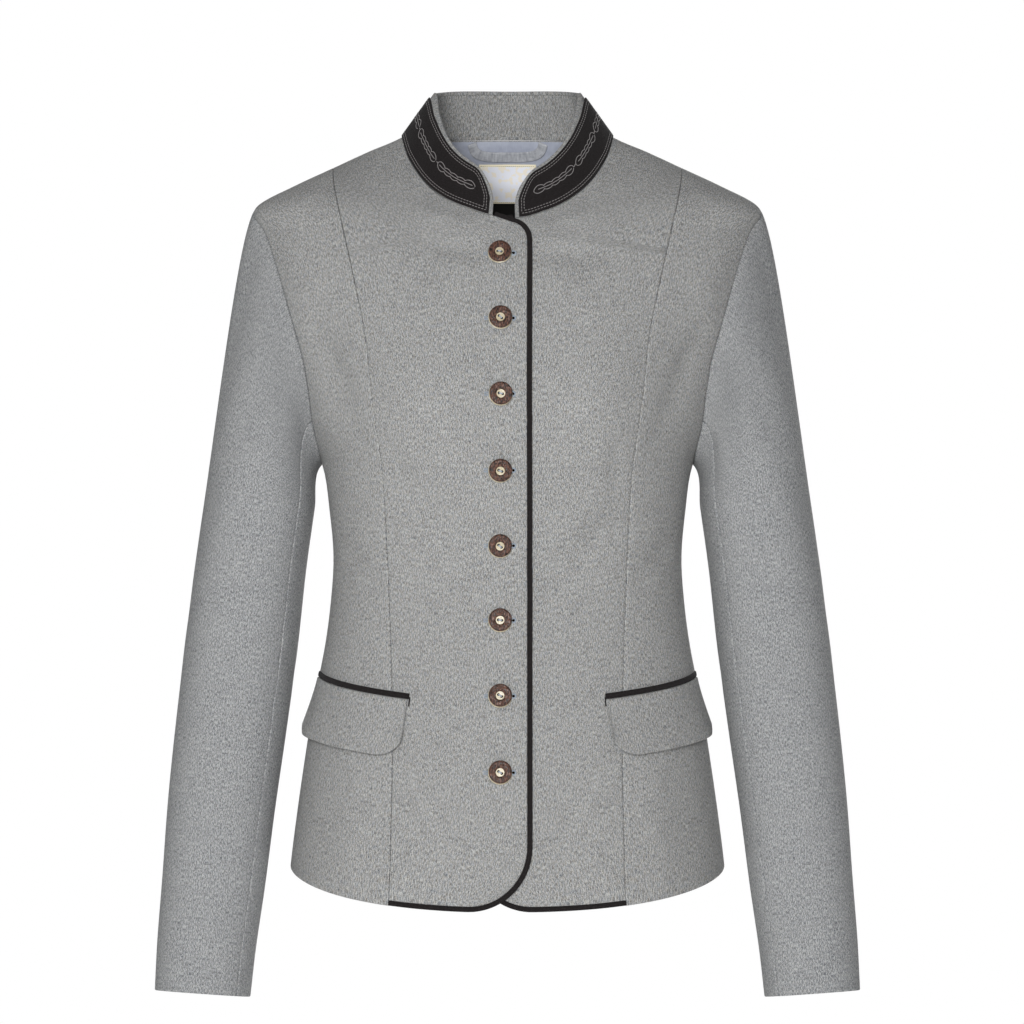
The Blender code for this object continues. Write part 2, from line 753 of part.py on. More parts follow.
def strip(name, path, out, outwards, width, thick, finish):
    """A flat strip of rounded section along a path, with its ends closed."""
    count = STRIP_SIDES
    turn = 2 * math.pi * (np.arange(count) + 0.5) / count
    across = np.sign(np.cos(turn)) * np.abs(np.cos(turn)) ** STRIP_SQUARENESS * width / 2
    above = np.sign(np.sin(turn)) * np.abs(np.sin(turn)) ** STRIP_SQUARENESS * thick / 2
    sections = path[:, None] + outwards[:, None] * across[None, :, None] + out[:, None] * above[None, :, None]
    vertices = sections.reshape(-1, 3)
    faces = []
    for r in range(len(path) - 1):
        for c in range(count):
            d = (c + 1) % count
            faces.append([r * count + c, r * count + d, (r + 1) * count + d, (r + 1) * count + c])
    faces.append(list(reversed(range(count))))
    faces.append([(len(path) - 1) * count + c for c in range(count)])
    new_object(name, vertices, faces, finish)


def make_piping(side, face, out):
    """The edging of one front, from the collar's end down the edge and along the hem."""
    word = "left" if side > 0 else "right"
    end = ROWS - NECK_ROWS
    path = np.concatenate([face[end:0:-1, 0], face[0]])
    up = np.concatenate([out[end:0:-1, 0], out[0]])
    along = unit(np.gradient(path, axis=0))
    outwards = unit(np.cross(along, up)) * side
    if np.dot(outwards[len(path) // 2], [-side, 0, 0]) < 0:
        outwards = -outwards
    middle = path + outwards * (SEAM_GAP + PIPING_WIDTH / 2) - up * WOOL / 2
    middle[0] += unit(middle[1] - middle[0]) * PIPING_TOP_TRIM
    middle[-1] -= unit(middle[-1] - middle[-2]) * SEAM_GAP
    strip("piping_" + word, middle, up, outwards, PIPING_WIDTH, PIPING_THICK, "felt")


def pocket_line(side, share, drop):
    """Angle and height of a place on the pocket: share along its opening and drop below it."""
    inner = abs(angle_at(POCKET_INNER, POCKET_INNER_HEIGHT))
    outer = math.radians(POCKET_OUTER_ANGLE)
    angle = inner + (outer - inner) * share
    height = POCKET_INNER_HEIGHT + (POCKET_OUTER_HEIGHT - POCKET_INNER_HEIGHT) * share - drop
    return side * angle, height


def make_pocket(side):
    """The flap and the welt above it, laid on the body."""
    word = "left" if side > 0 else "right"
    even = np.linspace(0, 1, FLAP_COLUMNS + 1)[None]
    share = even + FLAP_CROWDING * ((1 - np.cos(math.pi * even)) / 2 - even)
    from_end = np.minimum(share, 1 - share) * FLAP_LENGTH
    corner = np.clip(1 - from_end / FLAP_CORNER, 0, 1)
    depth = FLAP_DEPTH - FLAP_CORNER * (1 - np.sqrt(1 - corner**2))
    down = np.linspace(0, 1, FLAP_ROWS + 1)[:, None]
    angles, heights = pocket_line(side, share + 0 * down, down * depth)
    out = torso_out(angles, heights)
    lift = LAY_GAP + FLAP_LIFT * down**1.5 + lap_lift(side, torso(angles, heights))
    back = torso(angles, heights) + out * lift[..., None]
    wall("pocket_flap_" + word, back + out * FLAP_THICK, back, "wool")

    share = np.linspace(-0.01, 1.0, WELT_STEPS + 1)
    angles, heights = pocket_line(side, share, -(SEAM_GAP + WELT_WIDTH / 2))
    out = torso_out(angles, heights)
    path = torso(angles, heights) + out * (LAY_GAP + WELT_THICK / 2)
    outwards = unit(np.cross(unit(np.gradient(path, axis=0)), out))
    strip("pocket_welt_" + word, path, out, outwards, WELT_WIDTH, WELT_THICK, "felt")


def make_lining(face, out):
    """The lining inside the back neck, with the hanger loop and the bare label on it."""
    rows = slice(ROWS - LINING_ROWS, ROWS + 1)
    columns = slice(LINING_SIDE, 2 * (SHOULDER_COLUMNS + BACK_NECK_COLUMNS) + 1 - LINING_SIDE)
    patch = face[rows, columns].copy()
    inwards = out[rows, columns]
    patch[-1] += unit(patch[-2] - patch[-1]) * LINING_TOP
    depth = WOOL + LAY_GAP
    wall("back_neck_lining", patch - inwards * depth, patch - inwards * (depth + LINING), "satin")

    depth += LINING + LABEL_EASE
    across = np.linspace(-LABEL_WIDTH / 2, LABEL_WIDTH / 2, LABEL_COLUMNS + 1)
    xs, heights = np.meshgrid(across, np.linspace(LABEL_TOP, LABEL_BOTTOM, LABEL_ROWS + 1))
    lay(xs, heights, "label", depth, "label")

    turn = np.linspace(0, math.pi, LOOP_STEPS + 1)
    x = LOOP_HALF_SPAN * np.sign(np.cos(turn)) * np.abs(np.cos(turn)) ** LOOP_SQUARENESS
    height = LOOP_TOP - LOOP_DROP * np.maximum(np.sin(turn), 0) ** LOOP_SQUARENESS
    along = unit(np.stack([np.gradient(x), np.gradient(height)], axis=-1))
    across = np.array([-1, 0, 1])[:, None] * LOOP_WIDTH / 2
    lay(x + across * along[:, 1], height - across * along[:, 0], "hanger_loop", depth, "satin")


def lay(xs, heights, name, depth, finish):
    """A piece laid on the inside of the back, at a depth from the body's outer face."""
    angles = angle_at(xs, heights, True)
    out = torso_out(angles, heights)
    face = torso(angles, heights) - out * depth
    wall(name, face, face - out * LINING, finish)


def button_heights():
    """Heights of the buttons, from the neck down."""
    rest = BUTTON_TOP - BUTTON_FIRST_PITCH - BUTTON_PITCH * np.arange(BUTTON_COUNT - 1)
    return [BUTTON_TOP] + list(rest)


def make_buttons():
    """Turned buttons on the lap, each lying on the cloth."""
    for number, height in enumerate(button_heights(), 1):
        angle = angle_at(np.array(CENTRE), np.array(height))
        out = torso_out(angle, np.array(height))
        place = torso(angle, np.array(height)) + out * (LAP_LIFT + BUTTON_SEAT)
        mesh = bpy.data.meshes.new("button")
        points = [(share * BUTTON_RADIUS * METRES, 0, rise * METRES) for share, rise in BUTTON_PROFILE]
        mesh.from_pydata(points, [(i, i + 1) for i in range(len(points) - 1)], [])
        button = bpy.data.objects.new("button_%d" % number, mesh)
        pieces.objects.link(button)
        turned = button.modifiers.new("turned", "SCREW")
        turned.steps = BUTTON_SIDES
        turned.render_steps = BUTTON_SIDES
        turned.use_merge_vertices = True
        turned.merge_threshold = 0.00001
        turned.use_smooth_shade = True
        mesh.materials.append(finishes["horn"])
        button.rotation_mode = "QUATERNION"
        button.rotation_quaternion = Vector(out).to_track_quat("Z", "Y")
        button.location = tuple(place * METRES)


def linear(code):
    """A colour given as sRGB hex, as linear values."""
    values = [int(code[i:i + 2], 16) / 255 for i in (0, 2, 4)]
    return [v / 12.92 if v <= 0.04045 else ((v + 0.055) / 1.055) ** 2.4 for v in values] + [1.0]


def make_finishes():
    """One plain material for each finish."""
    made = {}
    for name, (code, roughness) in FINISHES.items():
        material = bpy.data.materials.new(name)
        material.use_nodes = True
        shader = material.node_tree.nodes["Principled BSDF"]
        shader.inputs["Base Color"].default_value = linear(code)
        shader.inputs["Roughness"].default_value = roughness
        material.diffuse_color = linear(code)
        made[name] = material
    return made


def make_jacket():
    """All the pieces, from the body outwards."""
    fronts = [make_front(-1), make_front(1)]
    back = make_back()
    for side, (face, out) in zip((-1, 1), fronts):
        front_mitre, back_mitre = make_sleeve(side)
        make_side(side, False, front_mitre)
        make_side(side, True, back_mitre)
        make_piping(side, face, out)
        make_pocket(side)
    make_collar(fronts, back)
    make_lining(*back)
    make_buttons()


for old in list(bpy.data.objects):
    bpy.data.objects.remove(old)
pieces = bpy.data.collections.new("stand_collar_jacket")
bpy.context.scene.collection.children.link(pieces)
finishes = make_finishes()
make_jacket()
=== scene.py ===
"""The looks of a stand-collar wool jacket, filled out as worn and hollow: cloth, edging, stitching, buttons.

Lengths are in millimetres until a mesh is made. The front is -Y, the wearer's left is +X, and heights are
measured from the side neck point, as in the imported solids.
"""
import math

import bpy
import numpy as np
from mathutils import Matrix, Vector


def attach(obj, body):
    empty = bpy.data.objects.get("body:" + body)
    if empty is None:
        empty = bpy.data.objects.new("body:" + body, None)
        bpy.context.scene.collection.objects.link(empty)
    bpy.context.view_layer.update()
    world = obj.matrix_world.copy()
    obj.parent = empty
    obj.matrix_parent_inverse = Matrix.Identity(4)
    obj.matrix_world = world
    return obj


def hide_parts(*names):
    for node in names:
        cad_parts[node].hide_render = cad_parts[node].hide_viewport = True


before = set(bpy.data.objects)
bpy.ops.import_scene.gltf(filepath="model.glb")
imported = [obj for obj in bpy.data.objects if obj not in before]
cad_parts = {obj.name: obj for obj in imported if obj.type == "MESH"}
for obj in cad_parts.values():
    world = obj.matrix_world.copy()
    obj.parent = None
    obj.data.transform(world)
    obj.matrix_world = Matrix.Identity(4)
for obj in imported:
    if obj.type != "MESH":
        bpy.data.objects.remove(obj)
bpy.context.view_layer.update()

METRES = 0.001
PER_METRE = 1000

# Cloth and seams
WOOL = 2.0
LINING = 1.0
SEAM_GAP = 0.3
LAY_GAP = 0.4
# How the face of a cloth drops at its edges: distance from the edge, share of the thickness
ROLL = ((0.0, 0.42), (0.35, 0.12), (1.0, 0.0))
ROLL_SHARE = 0.45
# The inner side of a cloth rolls less than its outer side
INNER_ROLL = 0.5
SHARP = math.radians(55)

# Edging and welts
PIPING_WIDTH = 4.1
PIPING_THICK = 2.6
PIPING_STEP = 2.0
PIPING_TUCK = 0.5
PIPING_TOP_TRIM = 1.2
STRIP_SIDES = 14
# Narrowest size, and least share of its rectangle, that a cloth's measured width, length and area are held to
NARROWEST = 10.5
LEAST_SHARE = 0.3
STRIP_SQUARENESS = 0.75
STRIP_WAVER = 0.06
STRIP_WAVES = (3.1, 7.7)

# Front closing: the centre line that the buttons stand on, and how far each front laps past it
CENTRE = -5.5
LAP = 25.0
LAP_LIFT = 3.0
LAP_BLEND = (30.0, 62.0)
HEM_CORNER = 50.0
NECK_CORNER = 18.0
NECK_TURN = math.radians(80)
LAP_TOP = -71.0

# Level lines of the body. The higher a bow, the closer to the middle the line bends
SIDE_HEM = -582.0
FRONT_HEM_DIP = 25.0
FRONT_HEM_BOW = 1.3
BACK_HEM_DIP = 6.0
BACK_HEM_BOW = 2
ARMPIT = -262.0
SHOULDER_SEAM_TOP = -22.0
BACK_NECK_RISE = 3.0
BACK_NECK_BOW = 1.5

# Power of the rounded square that a section of the body or a sleeve is
SQUARENESS = 2.3
# Small steps, in radians and millimetres, that the directions out of the cloth are measured over
TURN_STEP = 2e-3
HEIGHT_STEP = 0.2
# Rows of faces up a panel: below the armpit, from there to the level of the collar's end, and along the neck
LOWER_ROWS = 40
CHEST_ROWS = 36
NECK_ROWS = 32
UPPER_ROWS = CHEST_ROWS + NECK_ROWS
ROWS = LOWER_ROWS + UPPER_ROWS
CORNER_ROWS = 8
NECK_CORNER_ROWS = 8
COLLAR_LEVEL = -95.0
ARMHOLE_CHEST_SHARE = 0.58
# How the rows crowd together towards the shoulder and towards the armpit
SHOULDER_CROWDING = 1.5
ARMPIT_CROWDING = 1.1

# Horizontal sections of the body: height, half width, depth in front, depth behind
SECTIONS = (
    (8, 74, 8, 58),
    (0, 84, 14, 60),
    (-12, 111, 27, 65),
    (-25, 139, 39, 71),
    (-40, 171, 54, 77),
    (-55, 199, 66, 82),
    (-80, 199, 82, 90),
    (-110, 196, 95, 98),
    (-140, 189, 104, 103),
    (-165, 180, 109, 106),
    (-200, 171, 113, 107),
    (-230, 162, 114, 104),
    (-262, 148, 112, 99),
    (-300, 142, 107, 92),
    (-338, 139, 103, 88),
    (-370, 141, 103, 91),
    (-402, 145, 106, 98),
    (-434, 151, 111, 106),
    (-466, 157, 116, 114),
    (-498, 162, 120, 120),
    (-540, 168, 124, 125),
    (-580, 173, 127, 129),
    (-612, 176, 129, 131),
)

# Cups that the princess seams shape: height of the middle, distance from the centre, rise, spread across,
# spread above, spread below
BUST = (-222, 74, 15, 44, 74, 46)
SHOULDER_BLADE = (-140, 68, 4, 62, 62, 80)

# Princess seams: height, distance from the centre in front, distance behind
PRINCESS = (
    (-27, 139, 139),
    (-36, 138, 136),
    (-46, 136, 133),
    (-77, 129, 122),
    (-121, 119, 108),
    (-160, 111, 98),
    (-213, 105, 86),
    (-262, 98, 76),
    (-308, 95, 70),
    (-353, 93, 67),
    (-411, 90.5, 70),
    (-485, 89, 78),
    (-545, 90, 84),
    (-612, 91.5, 90),
)

# Armhole from the armpit to the shoulder: height, reach in front of the shoulder line, reach behind it
ARMHOLE = (
    (-262, 0, 0),
    (-256, 22, 20),
    (-240, 39, 36),
    (-216, 50, 44),
    (-190, 54, 46),
    (-165, 52, 44),
    (-140, 51, 44),
    (-116, 46, 40),
    (-95, 37, 34),
    (-74, 23, 22),
    (-55, 0, 0),
)
ARMHOLE_SAMPLES = 281
ARMHOLE_ROUNDS = 4

# Front neck seam: distance from the centre, height
FRONT_NECK = (
    (84.0, 0.0),
    (82.5, -6.0),
    (79.5, -16.0),
    (74.5, -26.0),
    (68.5, -35.5),
    (60.5, -45.0),
    (50.5, -53.5),
    (38.7, -60.7),
    (26.9, -65.5),
    (16.8, -69.0),
    (5.0, -70.6),
)
COLLAR_END = {"right": -11.5, "left": 6.0}
NECK_SAMPLES = 400
NECK_CROWDING = 1.6
FRONT_COLUMNS = 34
SHOULDER_COLUMNS = 8
BACK_NECK_COLUMNS = 24
SIDE_COLUMNS = 20

# Sleeve rings below the armhole: height, distance of the middle from the centre, how far forward,
# half width, half depth
SLEEVE = (
    (-290, 197.6, 0, 43.8, 60),
    (-338, 204.4, 2, 44.0, 58),
    (-402, 211.6, 6, 44.4, 55),
    (-466, 219.4, 13, 43.9, 52),
    (-530, 226.8, 21, 42.5, 48),
    (-594, 232.8, 29, 40.6, 45),
    (-642, 237.8, 35, 38.9, 43),
    (-680, 240.6, 39.6, 37.6, 42),
)
CAP_RINGS = 20
ARM_RINGS = 44
SLEEVE_SEAM_FRONT = 16
SLEEVE_SEAM_BACK = 28
# How a sleeve leaves the armhole, first at the armpit and then at the shoulder: outwards and downwards, and
# the share of the way to the first ring that the two handles of its curve take
LEAVE = ((0.75, 0.65), (0.60, 0.80))
LEAVE_FORWARD = 0.3
CAP_HANDLES = ((0.30, 0.30), (0.08, 0.32))
MITRE_STRETCH = 1.6
MITRE_GAP = 2.5
MITRE_GAP_POWER = 1.5

# Stand collar: station along the neck (0 front end, 1 side, 2 centre back), lean inwards, rise
COLLAR = (
    (0.0, 13, 34),
    (0.5, 20, 38),
    (1.0, 26, 35.5),
    (1.5, 17, 38.5),
    (2.0, 9, 39),
)
COLLAR_THICK = 2.4
COLLAR_ROUNDING = 24.0
COLLAR_END_HEIGHT = 0.25
COLLAR_MITRE_STRETCH = 2.0
NECK_AXIS = -10.0
COLLAR_ROWS = 12
OVERLAY_THICK = 1.0
OVERLAY_FOOT = 0.1
# Share of the collar left grey above the overlay, at its front and behind, and where it changes
OVERLAY_MARGIN = (0.08, 0.13)
OVERLAY_MARGIN_CHANGE = (60, 130)
OVERLAY_END = 3.0
OVERLAY_ROUNDING = 16.0
OVERLAY_END_SHARE = 0.6

# Pockets: the two ends of the opening, first in front and then at the side, and the flap that hangs from it
POCKET_INNER = 77.0
POCKET_INNER_HEIGHT = -445.0
POCKET_OUTER_ANGLE = 80.0
POCKET_OUTER_HEIGHT = -431.0
FLAP_LENGTH = 100.0
FLAP_DEPTH = 45.5
# Radius of a flap's front corner and of its outer one
FLAP_CORNER = (18.0, 8.0)
FLAP_CROWDING = 0.8
FLAP_COLUMNS = 48
FLAP_ROWS = 16
# How far a flap's foot stands off the body at the front and at the side
FLAP_LIFT = (3.0, 5.2)
FLAP_BEND = 1.5
# Ripples of a flap's foot: height, waves along the whole flap as an angle, and how far the two sides differ
FLAP_RIPPLES = ((0.5, 9, 1), (0.3, 17, 0))
FLAP_THICK = 2.0
WELT_WIDTH = 4.5
WELT_THICK = 1.8
WELT_STEPS = 60
WELT_START = -0.01
# A short black felt stroke at a pocket's front end, for the welt's turned-down end with painted shadow under
# it:
# its place along the opening, how far it reaches up and down, and its form
WELT_END_PLACE = -0.012
WELT_END_REACH = (-2.0, 5.0)
WELT_END_POINTS = 6
WELT_END_LIFT = 0.5
WELT_END_RADIUS = 0.55

# Buttons
BUTTON_COUNT = 8
BUTTON_TOP = -100.3
BUTTON_FIRST_PITCH = 50.8
BUTTON_PITCH = 58.2
BUTTON_RADIUS = 9.2
BUTTON_SEAT = 0.8
BUTTON_SIDES = 56
BARK_SHIFT = (0.16, 0.34)
BARK_WAVER = 0.02
# How far apart on one pattern the bark of two buttons lies, so that no two are alike
BARK_SPACING = 20
MIDDLE_RING = 0.02
# A button's two holes: the radii that their edge is rounded between, the share of the depth past which a hole
# is painted dark as shade, the tilt of the line through them in degrees, with its spread, and a level that
# only the button's face is above
BUTTON_HOLES_APART = 2.9
HOLE_EDGE = (0.7, 1.05)
HOLE_DEPTH = 1.6
HOLE_PAINTED_SHADE = 0.6
HOLES_TILT = (-24, 17)
FACE_LEVEL = 2
# The bars of thread between the holes
BAR_POINTS = 9
BAR_LEVEL = 3.05
BAR_RISE = 0.55
BAR_APART = 0.26
BUTTON_THREAD = 0.27

# Buttonholes, from the button's middle: the round eyelet at one end, the bars of the other end, and how far
# their thread stands off the cloth along its length
EYELET_CENTRE = 10.3
EYELET_RADIUS = 1.5
EYELET_SHIFT = 0.25
EYELET_SIDES = 18
EYELET_TURNS = (-150, 151, 14)
EYELET_REACH = np.array([[0.72], [1.08], [1.44]])
EYELET_THICK = 0.4
EYELET_DOME = 0.04
HOLE_BARS = (-12.4, -8.6, 0.55)
HOLE_BAR_REACH = np.array([0.25, 0.9, 1.5])
PURL_LIFT = np.array([0.05, 0.32, 0.0])

# Inside the back neck: the lining, the label and the hanger loop
LINING_ROWS = 48
LINING_TOP = 3.0
LINING_SIDE = 8
LABEL_WIDTH = 47.0
LABEL_TOP = -14.4
LABEL_BOTTOM = -45.2
LABEL_EASE = 0.9
LABEL_BORDER = 1.7
LABEL_GRID = (41, 27)
LABEL_BULGE = 0.25
LABEL_WAVES = (6.1, 7.3)
# Stitches of the label: how far from its edges, and their length, gap and sink
LABEL_STITCH_INSET = 1.2
LABEL_STITCH = (0.75, 0.9, 0.1)
LABEL_ROW_POINTS = 60
# Depth of what lies on the lining, from the body's outer face
LINED_DEPTH = WOOL + LAY_GAP + LINING + LABEL_EASE
LOOP_HALF_SPAN = 30.0
LOOP_TOP = 1.5
LOOP_DROP = 10.1
LOOP_WIDTH = 7.6
LOOP_STEPS = 120
LOOP_POINTS = 9
LOOP_LIFT = 0.7
LOOP_CRIMP = 0.3
LOOP_WAVES = (1.3, 3.7)
LOOP_CROWN = 2.4
LOOP_SQUARENESS = 0.5
LOOP_SPLAY = 0.12

FOLD_STRENGTH = 2.4
# Depth of a fold at its two ends, as a share of its depth in the middle
FOLD_END_SHARE = 0.35
# Soft folds of the body: in front (-1) or behind (1), from x and height, to x and height, width, depth
FOLDS = (
    (-1, -64, -90, -16, -101, 10, -1.5),
    (-1, 22, -99, 78, -100, 11, -1.4),
    (-1, -72, -60, -30, -80, 8, 0.7),
    (-1, 30, -78, 74, -60, 8, 0.6),
    (-1, 26, -364, 88, -300, 10, -1.3),
    (-1, 22, -338, 74, -286, 9, 0.7),
    (-1, 20, -229, 66, -235, 7, -0.8),
    (-1, -84, -342, -30, -370, 9, -1.1),
    (-1, -62, -300, -88, -258, 10, -0.9),
    (-1, -154, -146, -122, -222, 13, -1.8),
    (-1, 152, -158, 120, -230, 12, -1.6),
    (-1, -172, -92, -152, -150, 14, 1.1),
    (-1, 170, -98, 150, -142, 14, 1.0),
    (-1, -130, -330, -100, -354, 8, -1.0),
    (-1, 132, -318, 101, -346, 8, -1.2),
    (-1, -60, -482, -64, -596, 16, 0.8),
    (-1, 42, -500, 47, -598, 15, -0.8),
    (-1, 112, -490, 119, -592, 14, 0.9),
    (-1, -118, -500, -126, -590, 14, 0.9),
    (-1, -86, -250, -84, -292, 6, -0.8),
    (-1, 84, -246, 83, -286, 6, -0.8),
    (1, -72, -328, -22, -343, 9, -1.3),
    (1, 10, -339, 68, -325, 9, -1.2),
    (1, -42, -363, 30, -369, 11, -0.9),
    (1, -152, -186, -112, -252, 12, -1.6),
    (1, 150, -178, 114, -246, 13, -1.5),
    (1, -96, -116, -88, -212, 16, 0.9),
    (1, 92, -108, 87, -200, 15, 1.0),
    (1, -52, -32, 38, -36, 9, -0.9),
    (1, -50, -468, -57, -586, 16, 1.0),
    (1, 12, -482, 14, -588, 15, -0.9),
    (1, 67, -462, 75, -585, 16, 0.9),
    (1, -118, -480, -127, -584, 15, -0.9),
    (1, 122, -470, 131, -584, 15, 0.8),
)
# Soft folds of a sleeve: from turn (degrees from the armpit side, forwards) and height, to turn and height,
# width, depth
SLEEVE_FOLDS = (
    (70, -150, 128, -250, 13, -1.2),
    (96, -196, 160, -330, 15, -0.9),
    (284, -160, 232, -262, 13, -1.3),
    (262, -214, 205, -340, 15, -0.8),
    (32, -388, 112, -404, 8, -1.1),
    (48, -412, 126, -436, 9, -1.0),
    (20, -440, 84, -462, 8, -0.9),
    (330, -396, 262, -410, 9, -0.8),
    (350, -430, 286, -452, 9, -0.9),
    (128, -360, 176, -420, 14, 0.7),
    (66, -540, 140, -560, 10, -0.6),
    (300, -566, 236, -584, 10, -0.6),
    (96, -640, 150, -648, 6, -0.6),
)
ARM_RADIUS = 48.0
# Rows over which a sleeve's folds fade towards the armhole and the cuff
PLAIN_ROWS = (4, 3)

# Stitching
THREAD = 0.22
STRONG_THREAD = 0.24
THREAD_FLATNESS = 0.8
THREAD_LIFT = 0.1
STITCH = 2.1
STITCH_GAP = 0.5
STITCH_SINK = 0.35
STITCH_SIDES = 6
STITCH_RINGS = 5
TOPSTITCH = (2.4, 4.6)
ROW_POINTS = 900
END_POINTS = 20
INSIDE_ROW_END = 14
INSIDE_ROW_DROP = 2.8
INSIDE_ROW_LIFT = 0.05

# The chain of lobes on the overlay
MOTIFS = 10
MOTIF_START = 17.5
MOTIF_LINK = 3.6
LOBE = (7.4, 3.3)
WAVE = (5.8, 2.6)
WAVES = 3
PINCH = 1.3
LOBE_POINTS = 24
LOBE_FULLNESS = 0.6
VEIN_INSET = 0.35
VEIN_POINTS = 40
LINK_SWING = 0.4
LINK_POINTS = 8
# Length of its stitches, gap and sink
CHAIN_STITCH = (1.7, 0.12, 0.12)
CHAIN_THREAD = 0.26
# Its middle as a share of the collar's height, and how far it rises towards the collar's two ends
CHAIN_LEVEL = 0.47
CHAIN_RISE = 1.2
CHAIN_RISE_CHANGE = (8, 40)


def table_curve(rows, column):
    """A smooth curve through one column of a table, as a function of its first column."""
    ordered = sorted(rows)
    keys = np.array([row[0] for row in ordered], dtype=float)
    values = np.array([row[column] for row in ordered], dtype=float)
    slopes = np.gradient(values, keys)

    def curve(at):
        at = np.clip(np.asarray(at, dtype=float), keys[0], keys[-1])
        i = np.clip(np.searchsorted(keys, at) - 1, 0, len(keys) - 2)
        span = keys[i + 1] - keys[i]
        t = (at - keys[i]) / span
        rise = values[i] * (2 * t**3 - 3 * t**2 + 1) + values[i + 1] * (3 * t**2 - 2 * t**3)
        return rise + span * (slopes[i] * (t**3 - 2 * t**2 + t) + slopes[i + 1] * (t**3 - t**2))

    return curve


half_width, front_depth, back_depth = (table_curve(SECTIONS, column) for column in (1, 2, 3))
princess_front, princess_back = (table_curve(PRINCESS, column) for column in (1, 2))
neck_height = table_curve(FRONT_NECK, 1)
collar_lean, collar_rise = (table_curve(COLLAR, column) for column in (1, 2))


def unit(vectors):
    """Vectors of length one."""
    length = np.linalg.norm(vectors, axis=-1, keepdims=True)
    return vectors / np.maximum(length, 1e-9)


def stacked(*axes):
    """Points, or faces, from their coordinates or corners."""
    return np.stack(np.broadcast_arrays(*axes), axis=-1)


def side_word(side):
    """The wearer's side: 1 is left and -1 is right."""
    return "left" if side > 0 else "right"


def signed_power(value, power):
    """A power of a number's size, with the number's own sign."""
    return np.sign(value) * np.abs(value) ** power


def ease(value, start, end):
    """0 before start, 1 after end, with a smooth step between."""
    t = np.clip((np.asarray(value, dtype=float) - start) / (end - start), 0, 1)
    return t * t * (3 - 2 * t)


def mixed(ends, share):
    """A value a share of the way from the first of two ends to the second."""
    return ends[0] + (ends[1] - ends[0]) * share


def rounded_end(from_end, radius, lowest=0.0):
    """Share of the full height near an end that is rounded off, with the share left at the end itself."""
    corner = np.clip(1 - from_end / radius, 0, 1)
    return mixed((lowest, 1), np.sqrt(1 - corner**2))


def mitred(out, beside, most):
    """The direction halfway between two cloths at a seam, and how far it stretches their thickness."""
    shared = unit(beside + out)
    return shared, 1 / np.maximum(np.sum(shared * out, axis=-1), 1 / most)


def arc(points):
    """Length along a path at each of its points."""
    return np.concatenate([[0], np.cumsum(np.linalg.norm(np.diff(points, axis=0), axis=1))])


def resampled(points, length, at):
    """Places on a path, or of anything carried along it, at the given lengths."""
    return np.stack([np.interp(at, length, points[:, axis]) for axis in range(points.shape[1])], axis=-1)


# The body


def cup(bump, x, height):
    """How far a cup stands out of the plain section."""
    middle, out, rise, across, above, below = bump
    spread = np.where(height > middle, above, below)
    return rise * np.exp(-((np.abs(x) - out) / across) ** 2 - ((height - middle) / spread) ** 2)


def depths(x, height):
    """Depth in front of the shoulder plane and behind it, with the cups."""
    return front_depth(height) + cup(BUST, x, height), back_depth(height) + cup(SHOULDER_BLADE, x, height)


def plain_torso(angle, height):
    """A point of the body without its folds. Angle 0 is the middle of the front, and pi of the back."""
    angle, height = np.broadcast_arrays(np.asarray(angle, dtype=float), np.asarray(height, dtype=float))
    sideways = signed_power(np.sin(angle), 2 / SQUARENESS)
    forward = np.abs(np.cos(angle)) ** (2 / SQUARENESS)
    x = half_width(height) * sideways
    front, back = depths(x, height)
    y = np.where(np.cos(angle) >= 0, -front, back) * forward
    return stacked(x, y, height)


def out_of(surface, angle, height):
    """The direction straight out of a surface that an angle and a height give."""
    across = surface(angle + TURN_STEP, height) - surface(angle - TURN_STEP, height)
    up = surface(angle, height + HEIGHT_STEP) - surface(angle, height - HEIGHT_STEP)
    return unit(np.cross(across, up))


def angle_at(x, height, behind=False):
    """The angle at which the section at a height is x from the centre."""
    share = np.clip(np.abs(x) / half_width(height), 0, 1)
    angle = np.arcsin(share ** (SQUARENESS / 2)) * np.sign(x)
    return math.pi - angle if behind else angle


def fold_ends():
    """The two ends of each of the body's folds, with its width and depth."""
    for face, x0, z0, x1, z1, width, depth in FOLDS:
        ends = []
        for x, z in ((x0, z0), (x1, z1)):
            height = np.array(float(z))
            ends.append(plain_torso(angle_at(np.array(float(x)), height, face > 0), height))
        yield ends[0], ends[1], width, depth


fold_lines = list(fold_ends())


def fold_share(along, away, width):
    """Depth of a fold as a share: from 0 to 1 along it, and some millimetres away from its line."""
    return mixed((FOLD_END_SHARE, 1), np.sin(math.pi * along)) * np.exp(-(away / width) ** 2)


def fold_depth(points):
    """How far the soft folds lift or sink the cloth at some points of the body."""
    total = np.zeros(points.shape[:-1])
    for start, end, width, depth in fold_lines:
        along = end - start
        t = np.clip(np.sum((points - start) * along, axis=-1) / np.dot(along, along), 0, 1)
        away = np.linalg.norm(points - start - t[..., None] * along, axis=-1)
        total += depth * fold_share(t, away, width)
    return total * FOLD_STRENGTH


def torso(angle, height):
    """A point of the body's outer face, folds and all."""
    plain = plain_torso(angle, height)
    return plain + out_of(plain_torso, angle, height) * fold_depth(plain)[..., None]


def torso_out(angle, height):
    """The direction straight out of the cloth."""
    return out_of(torso, angle, height)


def off_body(angles, heights, lift):
    """Places that stand off the body's outer face, and the direction out of it."""
    out = torso_out(angles, heights)
    return torso(angles, heights) + out * np.asarray(lift)[..., None], out


def angle_of(points):
    """The angle of a point near the body, looked up along the section's own radius."""
    x, y, height = points[..., 0], points[..., 1], points[..., 2]
    front, back = depths(x, height)
    depth = np.where(y <= 0, front, back)
    sideways = np.sign(x) * (np.abs(x) / half_width(height)) ** (SQUARENESS / 2)
    forward = (np.abs(y) / depth) ** (SQUARENESS / 2)
    return np.arctan2(sideways, np.where(y <= 0, forward, -forward))


